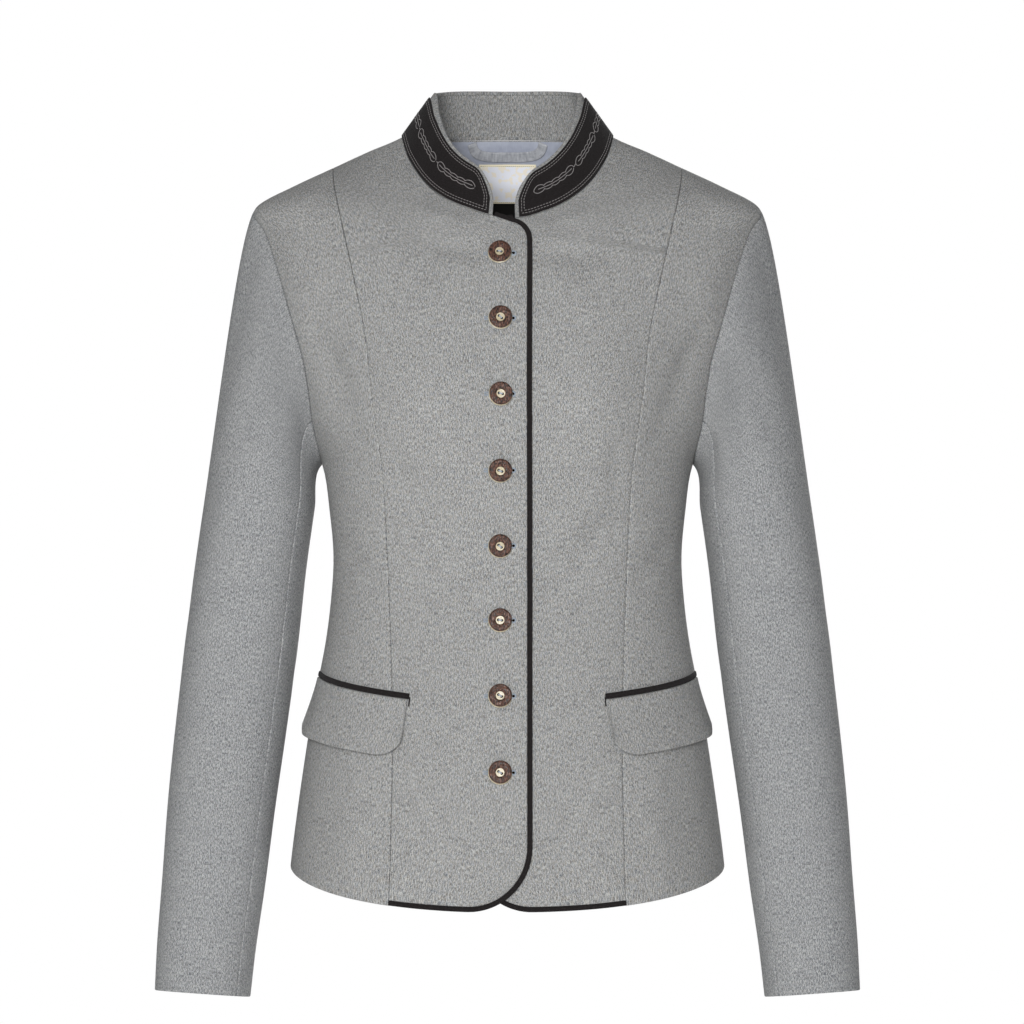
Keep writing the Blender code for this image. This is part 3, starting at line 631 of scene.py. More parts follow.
def hem_height(angle):
    """Height of the finished hem round the body."""
    forward = np.cos(angle)
    front = FRONT_HEM_DIP * np.maximum(forward, 0) ** FRONT_HEM_BOW
    return SIDE_HEM - front - BACK_HEM_DIP * np.maximum(-forward, 0) ** BACK_HEM_BOW


def princess_heights():
    """Heights of a princess seam's rows: even to the collar's level, and crowded towards the shoulder."""
    lower = np.linspace(SIDE_HEM, ARMPIT, LOWER_ROWS + 1)
    chest = np.linspace(ARMPIT, COLLAR_LEVEL, CHEST_ROWS + 1)
    rest = (1 - np.linspace(0, 1, NECK_ROWS + 1)) ** SHOULDER_CROWDING
    neck = SHOULDER_SEAM_TOP + (COLLAR_LEVEL - SHOULDER_SEAM_TOP) * rest
    return np.concatenate([lower, chest[1:], neck[1:]])


def princess_seam(side, behind):
    """Points of a princess seam from the hem to the shoulder, with the angle at the hem."""
    heights = princess_heights()
    distance = princess_back(heights) if behind else princess_front(heights)
    angles = angle_at(side * distance, heights, behind)
    angles[-1] = side * math.pi / 2
    heights[0] = hem_height(angles[0])
    return plain_torso(angles, heights), angles[0]


def filled(left, right, bottom, top):
    """A grid of points between four edges, drawn onto the body. Returns angles and heights."""
    rows = np.linspace(0, 1, len(left))[:, None, None]
    columns = np.linspace(0, 1, len(bottom))[None, :, None]
    across = (1 - columns) * left[:, None] + columns * right[:, None]
    along = (1 - rows) * bottom[None] + rows * top[None]
    corners = ((1 - rows) * ((1 - columns) * bottom[0] + columns * bottom[-1])
               + rows * ((1 - columns) * top[0] + columns * top[-1]))
    points = across + along - corners
    return angle_of(points), points[..., 2]


EDGES = (
    (np.s_[0, :], np.s_[1, :]),
    (np.s_[-1, :], np.s_[-2, :]),
    (np.s_[:, 0], np.s_[:, 1]),
    (np.s_[:, -1], np.s_[:, -2]),
)


def inwards_from(points, out, edge, inner):
    """Directions in the cloth from an edge of a grid towards the row beside it."""
    along = unit(np.gradient(points[edge], axis=0))
    inwards = unit(np.cross(out[edge], along))
    wrong = np.sum(inwards * (points[inner] - points[edge]), axis=-1, keepdims=True) < 0
    return np.where(wrong, -inwards, inwards)


def inset(points, out):
    """Move a grid's outer points in from its four edges by half a seam's gap."""
    moved = points.copy()
    for edge, inner in EDGES:
        moved[edge] += inwards_from(points, out, edge, inner) * SEAM_GAP / 2
    return moved


# Meshes


def added(name, data, group):
    """A new object of some data, in a collection."""
    made = bpy.data.objects.new(name, data)
    group.objects.link(made)
    return made


def new_piece(name, vertices, faces, finish, slot, nodes=(), uv=None, shades=None):
    """A piece that rides on the jacket, from points in millimetres, with its faces turned outwards.

    finish is one material's name, or several with shades giving each face's number.
    """
    vertices = np.asarray(vertices, dtype=float) * METRES
    mesh = bpy.data.meshes.new(name)
    mesh.from_pydata(vertices.tolist(), [], faces)
    mesh.update()
    if uv is not None:
        layer = mesh.uv_layers.new(name="cloth")
        corner = np.zeros(len(mesh.loops), dtype=np.int32)
        mesh.loops.foreach_get("vertex_index", corner)
        layer.data.foreach_set("uv", (np.asarray(uv)[corner] * METRES).astype(np.float32).ravel())
    mesh.calc_loop_triangles()
    corners = np.zeros(len(mesh.loop_triangles) * 3, dtype=np.int32)
    mesh.loop_triangles.foreach_get("vertices", corners)
    a, b, c = (vertices[corners.reshape(-1, 3)[:, i]] for i in range(3))
    if np.sum(a * np.cross(b, c)) < 0:
        mesh.flip_normals()
    for one in (finish,) if isinstance(finish, str) else finish:
        mesh.materials.append(finishes[one])
    if shades is not None:
        mesh.polygons.foreach_set("material_index", np.asarray(shades, dtype=np.int32))
    mesh.shade_smooth()
    mesh.set_sharp_from_angle(angle=SHARP)
    made = added(name, mesh, pieces)
    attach(made, "root")
    if nodes:
        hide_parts(*nodes)
    return made


def cloth_uv(face):
    """Where a grid's points lie on the flat cloth: across from the middle column, and up from the hem."""
    across = np.linalg.norm(np.diff(face, axis=1), axis=-1)
    across = np.concatenate([np.zeros((len(face), 1)), np.cumsum(across, axis=1)], axis=1)
    across -= across[:, face.shape[1] // 2, None]
    up = np.linalg.norm(np.diff(face, axis=0), axis=-1)
    up = np.concatenate([np.zeros((1, face.shape[1])), np.cumsum(up, axis=0)], axis=0)
    up = np.broadcast_to(up.mean(axis=1, keepdims=True), across.shape)
    return stacked(across, up)


def edge_shares(edge, beside):
    """How far the rolled lines lie between an edge and the row beside it, as shares."""
    length = np.maximum(np.linalg.norm(beside - edge, axis=-1, keepdims=True), 1e-6)
    widest = np.minimum(ROLL[-1][0] / length, ROLL_SHARE)
    return [widest * far / ROLL[-1][0] for far, _ in ROLL[1:]]


def with_edge_lines(face, *others):
    """Grids with lines of points added close to all four edges."""
    for axis in (0, 1):
        grids = [np.swapaxes(grid, 0, axis) for grid in (face, *others)]
        near = edge_shares(grids[0][0], grids[0][1])
        far = edge_shares(grids[0][-1], grids[0][-2])
        made = []
        for grid in grids:
            first = [grid[0] + (grid[1] - grid[0]) * share for share in near]
            last = [grid[-1] + (grid[-2] - grid[-1]) * share for share in reversed(far)]
            lines = [grid[:1], np.stack(first), grid[1:-1], np.stack(last), grid[-1:]]
            made.append(np.swapaxes(np.concatenate(lines), 0, axis))
        face, *others = made
    return (face, *others)


def edge_drop(rows, columns):
    """How far each point of a face drops at the cloth's rolled edges, as a share of its thickness."""
    lines = []
    for count in (rows, columns):
        line = np.zeros(count)
        for i, (_, drop) in enumerate(ROLL):
            line[[i, -1 - i]] = drop
        lines.append(line)
    return np.maximum(lines[0][:, None], lines[1][None])[..., None]


def cloth(name, face, back, finish, slot, uv=None):
    """A piece of cloth with rolled edges between the grids of its two sides, in place of its solid."""
    uv = cloth_uv(face) if uv is None else uv
    width = np.linalg.norm(np.diff(face, axis=1), axis=-1).sum(axis=1).max() * METRES
    length = np.linalg.norm(np.diff(face, axis=0), axis=-1).sum(axis=0).max() * METRES
    first = np.cross(face[1:, 1:] - face[:-1, :-1], face[1:, :-1] - face[:-1, 1:])
    area = np.linalg.norm(first, axis=-1).sum() / 2 * METRES**2
    face, back, uv = with_edge_lines(face, back, uv)
    rows, columns = face.shape[:2]
    drop = edge_drop(rows, columns)
    top = face + (back - face) * drop
    under = back + (face - back) * drop * INNER_ROLL
    vertices = np.concatenate([top.reshape(-1, 3), under.reshape(-1, 3)])
    number = np.arange(rows * columns).reshape(rows, columns)
    quads = stacked(number[:-1, :-1], number[:-1, 1:], number[1:, 1:], number[1:, :-1])
    quads = quads.reshape(-1, 4)
    around = np.concatenate([number[0, :-1], number[:-1, -1], number[-1, :0:-1], number[:0:-1, 0]])
    onwards = np.roll(around, -1)
    offset = rows * columns
    rim = stacked(onwards, around, around + offset, onwards + offset)
    faces = np.concatenate([quads, quads[:, ::-1] + offset, rim])
    flat_uv = np.concatenate([uv.reshape(-1, 2)] * 2)
    made = new_piece(name + "_cloth", vertices, faces.tolist(), finish, slot, (name,), flat_uv)
    cut = [max(float(size), NARROWEST * METRES) for size in (width, length)]
    area = float(np.clip(area, LEAST_SHARE * cut[0] * cut[1], cut[0] * cut[1]))
    return made


# Panels


def panel(name, angles, heights, lift=0.0, mitre=None):
    """A cut panel on the body: its outer face on the body, its inner face a cloth's thickness inside."""
    outer, out = off_body(angles, heights, lift)
    moved = inset(outer, out)
    down = out.copy()
    if mitre is not None:
        directions, stretch = mitre
        down[LOWER_ROWS:, -1] = directions * stretch[:, None]
        wider = SEAM_GAP / 2 * (np.minimum(stretch, MITRE_GAP) - 1)
        inwards = inwards_from(outer, out, *EDGES[-1])
        moved[LOWER_ROWS:, -1] += inwards[LOWER_ROWS:] * wider[:, None]
    cloth(name, moved, moved - down * WOOL, "wool", "grey_wool")
    return outer, out


def front_edges(side):
    """The four edges of a front: its free edge with the neck seam, the princess seam, hem and shoulder."""
    reach = LAP - PIPING_WIDTH
    low_radius = HEM_CORNER - PIPING_WIDTH
    low = SIDE_HEM - FRONT_HEM_DIP + HEM_CORNER
    high_radius = NECK_CORNER - PIPING_WIDTH
    high = LAP_TOP - NECK_CORNER
    turn = math.pi / 4 * np.linspace(1, 0, CORNER_ROWS + 1)
    bend = NECK_TURN * np.linspace(0, 1, NECK_CORNER_ROWS + 1)
    straight = np.concatenate([
        np.linspace(low, ARMPIT, LOWER_ROWS - CORNER_ROWS + 1),
        np.linspace(ARMPIT, high, CHEST_ROWS - NECK_CORNER_ROWS)[1:],
    ])
    heights = np.concatenate([
        low - low_radius * np.sin(turn),
        straight[1:],
        high + high_radius * np.sin(bend)[1:],
    ])
    distance = np.concatenate([
        reach - low_radius * (1 - np.cos(turn)),
        np.full(len(straight) - 1, reach),
        reach - high_radius * (1 - np.cos(bend)[1:]),
    ])
    edge = plain_torso(angle_at(CENTRE - side * distance, heights), heights)
    left = np.concatenate([edge, neck_seam(side)])

    right, seam_angle = princess_seam(side, False)
    right[0] = plain_torso(seam_angle, hem_height(seam_angle) + PIPING_WIDTH)
    xs = np.linspace(left[0, 0], right[0, 0], FRONT_COLUMNS + 1)
    past = np.clip(side * (CENTRE - side * (LAP - HEM_CORNER) - xs), 0, low_radius)
    base = hem_height(angle_at(xs, SIDE_HEM)) + PIPING_WIDTH + low_radius - np.sqrt(low_radius**2 - past**2)
    bottom = plain_torso(angle_at(xs, base), base)
    bottom[0] = left[0]
    bottom[-1] = right[0]
    return left, right, bottom, shoulder_seam(side, FRONT_COLUMNS)


def neck_seam(side):
    """The front neck seam's points, from the collar's end to the side neck point."""
    start = COLLAR_END[side_word(side)]
    share = np.linspace(0, 1, NECK_ROWS + 1) ** NECK_CROWDING
    fine = np.linspace(side * start, half_width(0.0), NECK_SAMPLES)
    heights = neck_height(np.abs(fine))
    path = plain_torso(angle_at(side * fine, heights), heights)
    path[-1] = plain_torso(side * math.pi / 2, 0.0)
    length = arc(path)
    return resampled(path, length, share * length[-1])


def shoulder_seam(side, columns):
    """Points along the shoulder seam, from the neck to the princess seam."""
    heights = np.linspace(0, SHOULDER_SEAM_TOP, columns + 1)
    return plain_torso(np.full_like(heights, side * math.pi / 2), heights)


def make_front(side):
    """A front panel, with its lap lifted clear of the one under it."""
    angles, heights = filled(*front_edges(side))
    return panel("front_" + side_word(side), angles, heights, lap_lift(side, plain_torso(angles, heights)))


def lap_lift(side, points):
    """How far the right front stands off the body, so that it passes over the left one."""
    if side > 0:
        return np.zeros(points.shape[:-1])
    return LAP_LIFT * (1 - ease(-points[..., 0], *LAP_BLEND))


def armhole_seam(side):
    """The armhole's points on the front and on the back, from the armpit up, as angles and heights."""
    number = np.arange(len(ARMHOLE))
    rows = [(i, *row) for i, row in zip(number, ARMHOLE)]
    fine = np.linspace(0, number[-1], ARMHOLE_SAMPLES)
    fine_height, fine_front = (table_curve(rows, column)(fine) for column in (1, 2))
    length = np.concatenate([[0], np.cumsum(np.hypot(np.diff(fine_height), np.diff(fine_front)))])
    low = ARMHOLE_CHEST_SHARE * np.linspace(0, 1, CHEST_ROWS + 1) ** ARMPIT_CROWDING
    high = np.linspace(ARMHOLE_CHEST_SHARE, 1, NECK_ROWS + 1)
    share = np.concatenate([low, high[1:]])
    at = np.interp(share * length[-1], length, fine)
    heights, front, back = (table_curve(rows, column)(at) for column in (1, 2, 3))
    x = half_width(heights)
    for _ in range(ARMHOLE_ROUNDS):
        deep_front, deep_back = depths(x, heights)
        x = half_width(heights) * (1 - np.clip(front / deep_front, 0, 1) ** SQUARENESS) ** (1 / SQUARENESS)
    angle_front = np.arccos(np.clip(front / deep_front, 0, 1) ** (SQUARENESS / 2))
    angle_back = math.pi - np.arccos(np.clip(back / deep_back, 0, 1) ** (SQUARENESS / 2))
    return side * angle_front, side * angle_back, heights


def side_edges(side, behind):
    """The four edges of a side front or a side back."""
    left, seam_angle = princess_seam(side, behind)
    front_angles, back_angles, heights = armhole_seam(side)
    lower = np.linspace(SIDE_HEM, ARMPIT, LOWER_ROWS + 1)
    hole = back_angles if behind else front_angles
    right_angles = np.concatenate([np.full(LOWER_ROWS, side * math.pi / 2), hole])
    right = plain_torso(right_angles, np.concatenate([lower[:-1], heights]))
    end = 3 * math.pi / 2 if behind and side < 0 else side * math.pi / 2
    around = np.linspace(seam_angle, end, SIDE_COLUMNS + 1)
    bottom = plain_torso(around, hem_height(around))
    shoulder = np.linspace(SHOULDER_SEAM_TOP, ARMHOLE[-1][0], SIDE_COLUMNS + 1)
    top = plain_torso(np.full_like(shoulder, end), shoulder)
    return left, right, bottom, top


def make_side(side, behind, mitre):
    """A side front or side back, with its armhole edge mitred to the sleeve."""
    name = ("side_back_" if behind else "side_front_") + side_word(side)
    panel(name, *filled(*side_edges(side, behind)), mitre=mitre)


def back_edges():
    """The four edges of the back, from the left princess seam to the right one."""
    (left, _), (right, _) = (princess_seam(side, True) for side in (1, -1))
    columns = 2 * (SHOULDER_COLUMNS + BACK_NECK_COLUMNS)
    xs = np.linspace(left[0, 0], right[0, 0], columns + 1)
    around = angle_at(xs, SIDE_HEM, True)
    bottom = plain_torso(around, hem_height(around))
    bottom[0] = left[0]
    bottom[-1] = right[0]
    top = np.concatenate([
        shoulder_seam(1, SHOULDER_COLUMNS)[::-1],
        back_neck_seam()[1:-1],
        shoulder_seam(-1, SHOULDER_COLUMNS),
    ])
    return left, right, bottom, top


def back_neck_seam():
    """The back neck seam's points, from the left side neck point round to the right one."""
    angles = np.linspace(math.pi / 2, 3 * math.pi / 2, 2 * BACK_NECK_COLUMNS + 1)
    heights = BACK_NECK_RISE * np.maximum(-np.cos(angles), 0) ** BACK_NECK_BOW
    return plain_torso(angles, heights)


def make_back():
    """The back panel, cut on the fold."""
    return panel("back", *filled(*back_edges()))


# Sleeves


def sleeve_rings(side):
    """Rings of points down a sleeve, and the direction and stretch of the mitre at its armhole."""
    front_angles, back_angles, heights = armhole_seam(side)
    hole_angles = np.concatenate([front_angles, back_angles[-2:0:-1]])
    hole_heights = np.concatenate([heights, heights[-2:0:-1]])
    hole = torso(hole_angles, hole_heights)
    body_out = torso_out(hole_angles, hole_heights)

    levels = np.linspace(SLEEVE[0][0], SLEEVE[-1][0], ARM_RINGS + 1)
    columns = [table_curve(SLEEVE, c)(levels) for c in range(1, 5)]
    middles = stacked(side * columns[0], -columns[1], levels)
    axes = unit(np.gradient(middles, axis=0))
    turn = 2 * math.pi * np.arange(len(hole)) / len(hole)
    inwards = signed_power(np.cos(turn), 2 / SQUARENESS)
    onwards = signed_power(np.sin(turn), 2 / SQUARENESS)
    rings = []
    for middle, axis, wide, deep in zip(middles, axes, columns[2], columns[3]):
        forward = np.array([0.0, -1.0, 0.0])
        forward = unit(forward - axis * np.dot(forward, axis))
        inner = np.cross(forward, axis) * side
        inner = inner if inner[0] * side < 0 else -inner
        rings.append(middle + np.outer(inwards * wide, inner) + np.outer(onwards * deep, forward))

    upper = (1 - np.cos(turn)) / 2
    outwards, downwards = (np.interp(upper, (0, 1), ends) for ends in zip(*LEAVE))
    near, far = (np.interp(upper, (0, 1), ends)[:, None] for ends in zip(*CAP_HANDLES))
    leave = unit(stacked(side * outwards, -LEAVE_FORWARD * np.sin(turn), -downwards))
    reach = np.linalg.norm(rings[0] - hole, axis=-1, keepdims=True)
    first = hole + leave * reach * near
    second = rings[0] - axes[0] * reach * far
    cap = []
    for t in np.linspace(0, 1, CAP_RINGS + 1)[:-1]:
        s = 1 - t
        cap.append(s**3 * hole + 3 * t * s**2 * first + 3 * t**2 * s * second + t**3 * rings[0])
    grid = np.array(cap + rings)
    grid = grid + grid_out(grid) * sleeve_folds(grid, turn)[..., None]

    out = grid_out(grid)
    shared, stretch = mitred(out[0], body_out, MITRE_STRETCH)
    return grid, out, shared, stretch, leave


def sleeve_folds(grid, turn):
    """How far the soft folds lift or sink a sleeve's cloth, and none at the armhole and the cuff."""
    degrees = np.degrees(turn)[None]
    height = grid[..., 2]
    total = np.zeros(grid.shape[:2])
    for turn0, z0, turn1, z1, width, depth in SLEEVE_FOLDS:
        step = math.radians(turn1 - turn0) * ARM_RADIUS
        rise = z1 - z0
        across = np.radians((degrees - turn0 + 180) % 360 - 180) * ARM_RADIUS
        t = np.clip((across * step + (height - z0) * rise) / (step**2 + rise**2), 0, 1)
        away = np.hypot(across - t * step, height - z0 - t * rise)
        total += depth * fold_share(t, away, width)
    row = np.arange(len(grid))[:, None]
    from_cap, from_cuff = PLAIN_ROWS
    return total * ease(row, 0, from_cap) * ease(len(grid) - 1 - row, 0, from_cuff)


def grid_out(grid):
    """Directions out of a tube of rings."""
    around = np.roll(grid, -1, axis=1) - np.roll(grid, 1, axis=1)
    along = np.gradient(grid, axis=0)
    out = unit(np.cross(around, along))
    middle = grid.mean(axis=1, keepdims=True)
    wrong = np.sum(out[-1] * (grid[-1] - middle[-1])) < 0
    return -out if wrong else out


def make_sleeve(side):
    """The upper and under sleeve. Returns the mitre for the body's armhole edge."""
    word = side_word(side)
    grid, out, shared, stretch, leave = sleeve_rings(side)
    down = out.copy()
    down[0] = shared * stretch[:, None]
    outer = grid.copy()
    gap = SEAM_GAP / 2 * np.minimum(stretch**MITRE_GAP_POWER, MITRE_GAP)
    outer[0] += leave * gap[:, None]
    inner = outer - down * WOOL
    count = grid.shape[1]
    top = np.arange(SLEEVE_SEAM_FRONT, count - SLEEVE_SEAM_BACK + 1)
    under = np.arange(count - SLEEVE_SEAM_BACK, count + SLEEVE_SEAM_FRONT + 1) % count
    for name, columns in (("sleeve_upper_", top), ("sleeve_under_", under)):
        face = outer[:, columns]
        back = inner[:, columns]
        for edge, inside in ((0, 1), (-1, -2)):
            nudge = unit(face[:, inside] - face[:, edge]) * SEAM_GAP / 2
            face[:, edge] += nudge
            back[:, edge] += nudge
        cloth(name + word, face, back, "sleeve_wool", "grey_wool")
    half = count // 2
    behind = np.concatenate([[0], np.arange(count - 1, half - 1, -1)])
    return [(shared[order], stretch[order]) for order in (np.arange(half + 1), behind)]


# Collar


class Collar:
    """The stand collar's outer face: places on it by the length along the seam and the height above it."""

    def __init__(self, fronts, back):
        neck = slice(ROWS - NECK_ROWS, ROWS + 1)
        middle = slice(SHOULDER_COLUMNS, SHOULDER_COLUMNS + 2 * BACK_NECK_COLUMNS + 1)
        self.base, self.body_out = (
            np.concatenate([right[neck, 0], behind[-1, middle][::-1][1:-1], left[neck, 0][::-1]])
            for right, behind, left in zip(fronts[0], back, fronts[1])
        )
        self.length = arc(self.base)
        total = self.length[-1]
        stations = [0, self.length[NECK_ROWS], total / 2, self.length[-1 - NECK_ROWS], total]
        station = np.interp(self.length, stations, [0, 1, 2, 3, 4])
        station = np.minimum(station, 4 - station)
        inwards = stacked(-self.base[:, 0], NECK_AXIS - self.base[:, 1], 0.0)
        self.up = unit(inwards) * collar_lean(station)[:, None]
        self.up[:, 2] = collar_rise(station)
        self.from_end = np.minimum(self.length, total - self.length)
        self.share = rounded_end(self.from_end, COLLAR_ROUNDING, COLLAR_END_HEIGHT)
        out = unit(np.cross(np.gradient(self.base, axis=0), self.up))
        outwards = self.base - np.array([0, NECK_AXIS, 0])
        outwards[:, 2] = 0
        self.out = -out if np.sum(out * outwards) < 0 else out
        self.tall = np.linalg.norm(self.up, axis=-1) * self.share

    def rows(self, low, high, count):
        """Rows of points up the collar between two shares of its height."""
        rows = np.linspace(low, high, count + 1)[:, None, None]
        return self.base[None] + self.up[None] * (self.share[None, :, None] * rows)

    def height_at(self, along):
        """Height of the collar's upper edge above the seam."""
        return np.interp(along, self.length, self.tall)

    def overlay_top(self, along):
        """Height of the black overlay's upper edge, rounded off at its own two ends."""
        from_end = np.minimum(along, self.length[-1] - along) - OVERLAY_END
        margin = mixed(OVERLAY_MARGIN, ease(from_end, *OVERLAY_MARGIN_CHANGE))
        share = rounded_end(from_end, OVERLAY_ROUNDING, OVERLAY_END_SHARE)
        return self.height_at(along) * (1 - margin) * share

    def places(self, along, height, lift):
        """Points on the collar at lengths along the seam and heights above it, lifted off its face."""
        base = resampled(self.base, self.length, along)
        up = unit(resampled(self.up, self.length, along))
        out = unit(resampled(self.out, self.length, along))
        return base + up * np.asarray(height)[:, None] + out * lift, out


def make_collar(collar):
    """The stand collar and the black overlay on its outside."""
    outer = collar.rows(0, 1, COLLAR_ROWS)
    shared, stretch = mitred(collar.out, collar.body_out, COLLAR_MITRE_STRETCH)
    down = np.repeat(collar.out[None], len(outer), axis=0)
    down[0] = shared * stretch[:, None]
    outer[0] += unit(collar.up) * SEAM_GAP
    cloth("collar", outer, outer - down * COLLAR_THICK, "collar_wool", "grey_wool")

    kept = collar.from_end >= OVERLAY_END
    rows = np.linspace(0, 1, COLLAR_ROWS + 1)[:, None]
    tall = collar.overlay_top(collar.length) - OVERLAY_FOOT
    under = (collar.base + unit(collar.up) * (OVERLAY_FOOT + rows * tall)[..., None])[:, kept]
    lay = np.repeat(collar.out[None], len(under), axis=0)[:, kept]
    face = under + lay * (LAY_GAP + OVERLAY_THICK)
    cloth("collar_overlay", face, under + lay * LAY_GAP, "felt", "black_felt")


# Thread


def tube(path, across, above, wide, high):
    """Rings of points round a path, by two directions and how far each point reaches along them."""
    return path[:, None] + across[:, None] * wide[..., None] + above[:, None] * high[..., None]


def tube_faces(rings, sides, first=0):
    """The faces of a tube of rings, from the number of its first point, and of its two closed ends."""
    ring = np.arange(sides)
    beside = (ring + 1) % sides
    quad = stacked(ring, beside, beside + sides, ring + sides)
    walls = first + sides * np.arange(rings - 1)[:, None, None] + quad
    ends = [first + ring[::-1], first + sides * (rings - 1) + ring]
    return walls.reshape(-1, 4).tolist() + [end.tolist() for end in ends]


def stitched(name, lines, finish, slot, radius=THREAD):
    """A piece of thread: a flat-ended tube along each line of points and directions out of the cloth."""
    vertices = []
    faces = []
    turn = 2 * math.pi * np.arange(STITCH_SIDES) / STITCH_SIDES
    for points, out in lines:
        along = unit(np.gradient(points, axis=0))
        across = unit(np.cross(along, out))
        faces += tube_faces(len(points), STITCH_SIDES, len(vertices) * STITCH_SIDES)
        high = np.sin(turn) * radius * THREAD_FLATNESS
        vertices.extend(tube(points, across, np.cross(across, along), np.cos(turn) * radius, high))
    vertices = np.concatenate(vertices)
    uv = stacked(np.tile(turn * radius, len(vertices) // STITCH_SIDES), vertices @ [1, 1, 1])
    return new_piece(name, vertices, faces, finish, slot, uv=uv)


def dashes(points, out, stitch=STITCH, gap=STITCH_GAP, sink=STITCH_SINK):
    """The stitches of a row along a path, each dipping into the cloth at its ends."""
    length = arc(points)
    share = np.linspace(0, 1, STITCH_RINGS)
    dip = sink * (1 - np.sin(math.pi * share) ** 0.5)
    lines = []
    for start in np.arange(0, length[-1] - stitch, stitch + gap):
        at = start + stitch * share
        directions = unit(resampled(out, length, at))
        lines.append((resampled(points, length, at) - directions * dip[:, None], directions))
    return lines


def outline_row(collar, inset_by):
    """A topstitching row round the overlay: along the top, down the two ends and back along its foot."""
    at = np.linspace(OVERLAY_END, collar.length[-1] - OVERLAY_END, ROW_POINTS)
    top = stacked(at, collar.overlay_top(at))
    along = unit(np.gradient(top, axis=0))
    top = top + stacked(along[:, 1], -along[:, 0]) * inset_by
    ends = (OVERLAY_END + inset_by, collar.length[-1] - OVERLAY_END - inset_by)
    top = top[(top[:, 0] > ends[0]) & (top[:, 0] < ends[1])]
    foot = stacked(np.linspace(*ends, ROW_POINTS), OVERLAY_FOOT + inset_by)
    down = np.linspace(top[-1], foot[-1], END_POINTS)
    return np.concatenate([foot[::-1], np.linspace(foot[0], top[0], END_POINTS), top, down])


def motif(length):
    """One closed chain of lobes and its centre line, flat, from 0 to its length along the band."""
    spans = [LOBE] + [WAVE] * WAVES + [LOBE]
    scale = length / sum(span for span, _ in spans)
    t = np.linspace(0, 1, LOBE_POINTS)
    along = []
    wide = []
    start = 0.0
    for i, (span, half) in enumerate(spans):
        pinch = np.where(t < 0.5, 0 if i == 0 else PINCH, 0 if i == len(spans) - 1 else PINCH)
        along.append((start + t * span) * scale)
        wide.append(pinch + (half - pinch) * np.sin(math.pi * t) ** LOBE_FULLNESS)
        start += span
    edge = stacked(np.concatenate(along), np.concatenate(wide))
    inset_by = LOBE[0] * VEIN_INSET
    vein = np.linspace([inset_by, 0], [length - inset_by, 0], VEIN_POINTS)
    return np.concatenate([edge, (edge * [1, -1])[::-1]]), vein


def make_collar_stitching(collar):
    """The overlay's two topstitched rows and the chain of lobes along it, and the row inside the collar."""
    lift = LAY_GAP + OVERLAY_THICK + THREAD_LIFT
    total = collar.length[-1]
    lines = []
    for inset_by in TOPSTITCH:
        row = outline_row(collar, inset_by)
        lines += dashes(*collar.places(row[:, 0], row[:, 1], lift))
    stitched("overlay_topstitching", lines, "grey_thread", "black_felt")

    pitch = (total - 2 * MOTIF_START + MOTIF_LINK) / MOTIFS
    ring, vein = motif(pitch - MOTIF_LINK)
    link = np.linspace([pitch - MOTIF_LINK, LINK_SWING], [pitch, -LINK_SWING], LINK_POINTS)
    lines = []
    for number in range(MOTIFS):
        for part in (ring, vein, link)[:3 if number < MOTIFS - 1 else 2]:
            along = MOTIF_START + number * pitch + part[:, 0]
            height = collar.height_at(along) * CHAIN_LEVEL + part[:, 1]
            height += CHAIN_RISE * (1 - ease(np.minimum(along, total - along), *CHAIN_RISE_CHANGE))
            lines += dashes(*collar.places(along, height, lift), *CHAIN_STITCH)
    stitched("overlay_chain", lines, "grey_thread", "black_felt", radius=CHAIN_THREAD)

    along = np.linspace(INSIDE_ROW_END, total - INSIDE_ROW_END, ROW_POINTS)
    height = collar.height_at(along) - INSIDE_ROW_DROP
    points, out = collar.places(along, height, -COLLAR_THICK - INSIDE_ROW_LIFT)
    stitched("collar_inside_row", dashes(points, -out), "wool_thread", "grey_wool", radius=STRONG_THREAD)


# Edging, pockets, buttons


def strip(name, path, out, outwards, width, thick, finish, slot):
    """A folded strip of felt of rounded section along a path, with its ends closed."""
    turn = 2 * math.pi * (np.arange(STRIP_SIDES) + 0.5) / STRIP_SIDES
    length = arc(path)
    waver = 1 + STRIP_WAVER * np.sin(length / STRIP_WAVES[0]) * np.sin(length / STRIP_WAVES[1] + 1)
    across = signed_power(np.cos(turn), STRIP_SQUARENESS) * width / 2
    above = signed_power(np.sin(turn), STRIP_SQUARENESS) * thick / 2
    sections = tube(path, outwards, out, across, above * waver[:, None])
    around = np.linalg.norm(np.diff(sections[0], axis=0), axis=1).sum()
    across = np.tile(turn / (2 * math.pi) * around, len(path))
    uv = stacked(across, np.repeat(length, STRIP_SIDES))
    faces = tube_faces(len(path), STRIP_SIDES)
    made = new_piece(name + "_felt", sections.reshape(-1, 3), faces, finish, slot, (name,), uv)


def make_piping(side, face, out):
    """The edging of one front, from the collar's end down the edge and along the hem."""
    word = side_word(side)
    end = ROWS - NECK_ROWS
    path = np.concatenate([face[end:0:-1, 0], face[0]])
    length = arc(path)
    even = np.linspace(0, length[-1], round(length[-1] / PIPING_STEP))
    up = unit(resampled(np.concatenate([out[end:0:-1, 0], out[0]]), length, even))
    path = resampled(path, length, even)
    outwards = unit(np.cross(unit(np.gradient(path, axis=0)), up)) * side
    if np.dot(outwards[len(path) // 2], [-side, 0, 0]) < 0:
        outwards = -outwards
    middle = path + outwards * (PIPING_WIDTH - PIPING_TUCK) / 2 - up * WOOL / 2
    middle[0] += unit(middle[1] - middle[0]) * PIPING_TOP_TRIM
    middle[-1] -= unit(middle[-1] - middle[-2]) * SEAM_GAP
    strip("piping_" + word, middle, up, outwards, PIPING_WIDTH, PIPING_THICK, "felt", "black_felt")


